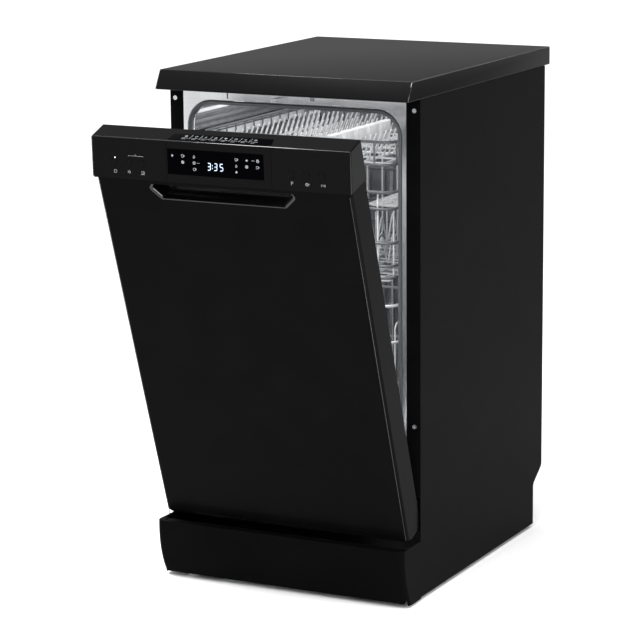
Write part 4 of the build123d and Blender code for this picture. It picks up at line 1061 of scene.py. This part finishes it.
def drop_sign(x, y):
    return [[(x, y + 2.4), (x - 1.5, y - 0.2), (x - 1.2, y - 1.5), (x, y - 2.1), (x + 1.2, y - 1.5),
             (x + 1.5, y - 0.2), (x, y + 2.4)]]


def clock_sign(x, y):
    return [arc(x, y, 2.1), [(x, y + 1.4), (x, y), (x + 1.1, y - 0.5)]]


def star_sign(x, y):
    return [[(x - 1.9 * np.cos(a), y - 1.9 * np.sin(a)), (x + 1.9 * np.cos(a), y + 1.9 * np.sin(a))]
            for a in np.radians([0, 60, 120])]


def dash_sign(x, y):
    return [[(x - 2.2, y), (x - 0.6, y)], [(x + 0.6, y), (x + 2.2, y)]]


SIGNS_LEFT = [(star_sign, -80, 9.6), (cup_sign, -62, 9.6), (drop_sign, -42, 9.8), (plate_sign, -62, 0.3),
              (clock_sign, -42, 0), (dash_sign, -35, 0), (cup_sign, -42, -10)]
SIGNS_RIGHT = [(cup_sign, 31, 9.2), (star_sign, 49, 9.3), (dash_sign, 60, 9.4), (clock_sign, 68, 9.3),
               (drop_sign, 31, -0.4), (plate_sign, 49, -0.5), (cup_sign, 67, -0.8), (star_sign, 31, -9.8)]
display_signs = [stroke for sign, x, y in SIGNS_LEFT + SIGNS_RIGHT for stroke in sign(x, y)]
piece("display_symbols", on_face(display_signs, 0.6, -0.05), "door", "display_glass", icon_light,
      on_door=True)

# %% [markdown]
# The time left is shown in seven-stroke digits. A figure is the list of strokes that are lit, each
# shortened at both ends so that neighbours stay apart, and leaning a little as such digits do.

# %% Digits of the display
DIGIT_W, DIGIT_H, DIGIT_LEAN = 4.8, 10.5, 0.06
SEGMENTS = {
    "top": ((0, 1), (1, 1)), "high_left": ((0, 1), (0, 0.5)), "high_right": ((1, 1), (1, 0.5)),
    "middle": ((0, 0.5), (1, 0.5)), "low_left": ((0, 0.5), (0, 0)), "low_right": ((1, 0.5), (1, 0)),
    "bottom": ((0, 0), (1, 0)),
}
FIGURES = {
    3: ("top", "high_right", "middle", "low_right", "bottom"),
    5: ("top", "high_left", "middle", "low_right", "bottom"),
}


def figure(number, x, y):
    """The lit strokes of one figure, each shortened by a tenth at both ends, and leaning a little."""
    strokes = []
    for name in FIGURES[number]:
        a, b = (np.array(end, float) * (DIGIT_W, DIGIT_H) for end in SEGMENTS[name])
        a, b = a + 0.1 * (b - a), b + 0.1 * (a - b)
        strokes.append([(x + p[0] + DIGIT_LEAN * p[1], y + p[1]) for p in (a, b)])
    return strokes


DIGIT_UP = -9.4
digits = figure(3, -18.9, DIGIT_UP) + figure(3, -7.6, DIGIT_UP) + figure(5, 2.6, DIGIT_UP)
digits += [[(-10.6, DIGIT_UP + 2.2), (-10.5, DIGIT_UP + 3.7)]]
digits += [[(-10.3, DIGIT_UP + 6.6), (-10.2, DIGIT_UP + 8.1)]]
piece("display_digits", on_face(digits, 1.2, -0.04), "door", "display_glass", digit_light, on_door=True)

# %% [markdown]
# Under each button stands its symbol in grey ink, and a bracket joins the two buttons that are
# pressed together. A lamp with a domed lens shows that the power is on.

# %% Symbols of the buttons
BUTTON_SIGNS = [arc(-182.4, -20.8, 2.4, 0, 360)]
BUTTON_SIGNS += drop_sign(-157, -20.6) + [[(-160.2, -22), (-159, -19.4), (-160.2, -19.4)]]
BUTTON_SIGNS += cup_sign(-133.5, -20.8) + [[(-136.4, -23.6), (-130, -23.6)]]
BUTTON_SIGNS += [[(124, -23.6), (124, -18.4), (126.4, -18.4), (127, -19.8), (126.4, -21), (124, -21)]]
BUTTON_SIGNS += clock_sign(150, -21.2) + [[(153.4, -23), (153.4, -19.4), (155, -21), (153.4, -21)]]
BUTTON_SIGNS += [[(174.6, -23), (174.6, -19.4), (177.4, -21.2), (174.6, -23)],
                 [(179, -23), (179, -19.4)], [(180.8, -23), (180.8, -19.4)]]
BRACKET = [[(-158.3, 4.7), (-132.1, 4.7)], [(-145.4, 4.7), (-145.4, 7.6)],
           [(-158.3, 3.4), (-158.3, 4.7)], [(-132.1, 3.4), (-132.1, 4.7)]]
piece("panel_marks", on_face(BUTTON_SIGNS, 0.75), "door", "black_abs", ink, on_door=True)
piece("panel_bracket", on_face(BRACKET, 0.5), "door", "black_abs", ink, on_door=True)
lamp = turned([(-0.3, 0.2), (-0.3, 0.95), (0.12, 0.9), (0.22, 0.2)],
              FACE_MIDDLE - 182.4 * X + 0.6 * UP, OUT, 16)
piece("power_lamp", lamp, "door", "display_glass", lamp_light, on_door=True)

def panel_arris():
    """The polished edge where the face meets the top and the ends, a hair below both surfaces."""
    x = 223.4
    brow = np.array([0, *BROW]) - 0.68 * OUT
    foot = np.array([0, *FOOT]) - 0.68 * OUT + 1.5 * UP
    path = [foot - x * X, brow - x * X - 0.6 * UP, brow + x * X - 0.6 * UP, foot + x * X]
    return carried(rounded(path, 1.5, steps=3), round_loop(0.7), OUT, tip=0.3)


# %% [markdown]
# Sharp bends in painted or moulded parts are polished by handling, and catch the light as thin
# lines. Each is a fine bead sunk almost flush along the edge, in the polished finish.

# %% Polished edges of the door
def door_arris():
    """A polished line down each rounded front edge, on the eight-millimetre bend."""
    angle = np.radians(38)
    x, y = 213 + 7.45 * np.sin(angle), DOOR_FRONT + 8 - 7.45 * np.cos(angle)
    return mirrored(wire([(x, y, 114), (x, y, 742)], 0.75, Y))


piece("door_arris", door_arris(), "door", "black_steel", gloss_abs, on_door=True)
piece("control_panel_arris", panel_arris(), "door", "black_abs", gloss_abs, on_door=True)

# %% [markdown]
# On top of the panel, where it shows only while the door is open, lies a thin dark strip with a
# programme key: a row of small symbols, a dash under each, and slanting rules between them.

# %% Programme strip on the panel's top edge
TOP_MIDDLE = np.array([0, *BROW])
TOP_OUT = np.cross(X, TOP_BACK)


def on_top(strokes, width, lift=0.35):
    return ribbon(strokes, width, lift, TOP_MIDDLE, TOP_BACK, TOP_OUT)


def strip_plate():
    """A flat four-cornered plate, longer at the back, with its edges eased."""
    outline = rounded([(-90, 3, 0), (-86, 23, 0), (86, 23, 0), (90, 3, 0)], 1.0, closed=True, steps=3)
    flat = TOP_MIDDLE + outline[:, :1] * X + outline[:, 1:2] * TOP_BACK
    centre = flat.mean(0)
    eased = centre + (flat - centre) * 0.996
    rings = [flat - TOP_OUT * 0.2, flat + TOP_OUT * 0.18, eased + TOP_OUT * 0.28]
    return closed_grid(np.array(rings))


strip_signs = []
for i, x in enumerate(np.linspace(-62, 58, 8)):
    sign = (plate_sign, cup_sign, drop_sign, clock_sign)[i % 4]
    strip_signs += [stroke * (1, 0.8) for stroke in map(np.array, sign(x, 20))]
    strip_signs += [[(x - 5.5, 10.5), (x + 5.5, 10.5)], [(x - 5, 7.2), (x + 2, 7.2)]]
    strip_signs += [[(x + 8, 8), (x + 10, 20)]] if i < 7 else []
piece("programme_strip", strip_plate(), "door", "display_glass", on_door=True)
piece("programme_marks", on_top(strip_signs, 0.7), "door", "display_glass", ink, on_door=True)

# %% [markdown]
# The floor is a pale sheet, far larger than the view, so it fills the picture. Light is soft:
# a broad overhead sun whitens the floor, tall side panels draw the long highlights on the edges,
# and one panel by the camera reaches through the gap into the tub.

# %% Floor, sky and lights
def floor_paint(tree, place):
    """Matt paint: no shine, and a shade that drifts slowly from place to place."""
    cloud = node(tree, "ShaderNodeTexNoise", {"Vector": place, "Scale": grains(900)})
    pale = node(tree, "ShaderNodeValToRGB", {"Fac": cloud}, [(0.3, "#f4f4f4"), (0.7, "#f8f8f8")])
    return node(tree, "ShaderNodeBsdfPrincipled", {
        "Base Color": pale, "Roughness": 0.9, "Specular IOR Level": 0.0,
    })


def plain_floor():
    """One square, far wider than any view of the machine."""
    side = 14.0
    mesh = bpy.data.meshes.new("floor")
    mesh.from_pydata([(-side, -side, 0), (side, -side, 0), (side, side, 0), (-side, side, 0)], [],
                     [(0, 1, 2, 3)])
    made = bpy.data.objects.new("floor", mesh)
    bpy.context.scene.collection.objects.link(made)
    mesh.materials.append(finish("pale_floor_paint", floor_paint))


def sky(brightness):
    """A white backdrop to look at, and a dimmer white to be lit by."""
    world = bpy.data.worlds.new("studio")
    world.use_nodes = True
    tree = world.node_tree
    tree.nodes.clear()
    seen = node(tree, "ShaderNodeLightPath").outputs["Is Camera Ray"]
    strength = node(tree, "ShaderNodeMapRange", {"Value": seen, "To Min": brightness, "To Max": 1.0})
    glow = node(tree, "ShaderNodeBackground", {"Color": linear("#ffffff"), "Strength": strength})
    node(tree, "ShaderNodeOutputWorld", {"Surface": glow})
    bpy.context.scene.world = world


def lamp_object(name, kind, place, towards, strength, **settings):
    """A lamp at a place, its -Z axis turned towards a point, both in metres."""
    data = bpy.data.lights.new(name, kind)
    data.energy = strength
    for key, value in settings.items():
        setattr(data, key, value)
    made = bpy.data.objects.new(name, data)
    bpy.context.scene.collection.objects.link(made)
    back = np.array(place, float) - np.array(towards, float)
    back /= np.linalg.norm(back)
    right = np.cross([0, 0.01, 1], back)
    right /= np.linalg.norm(right)
    matrix = np.eye(4)
    matrix[:3] = np.column_stack((right, np.cross(back, right), back, place))
    made.matrix_world = Matrix(matrix.tolist())
    made.visible_camera = False


plain_floor()
sky(0.5)
lamp_object("overhead", "SUN", (0, 0, 5), (0, 0.4, 0), 2.6, angle=np.radians(50))
lamp_object("left_panel", "AREA", (-0.95, -0.1, 0.45), (-0.2, -0.1, 0.45), 12, shape="RECTANGLE",
            size=0.25, size_y=0.85)
lamp_object("right_panel", "AREA", (0.95, -0.25, 0.45), (0.2, -0.25, 0.45), 6, shape="RECTANGLE",
            size=0.25, size_y=0.85)
lamp_object("top_strip", "AREA", (-0.7, -0.7, 2.2), (0.0, -0.2, 0.8), 40, shape="RECTANGLE",
            size=1.4, size_y=0.25)
lamp_object("front_panel", "AREA", (0.6, -1.7, 1.2), (0.0, 0.3, 0.7), 14, shape="RECTANGLE",
            size=0.7, size_y=0.7)
lamp_object("tub_glow", "AREA", (0, 0.1, 0.79), (0, 0.1, 0), 0.6, shape="RECTANGLE", size=0.34,
            size_y=0.42)
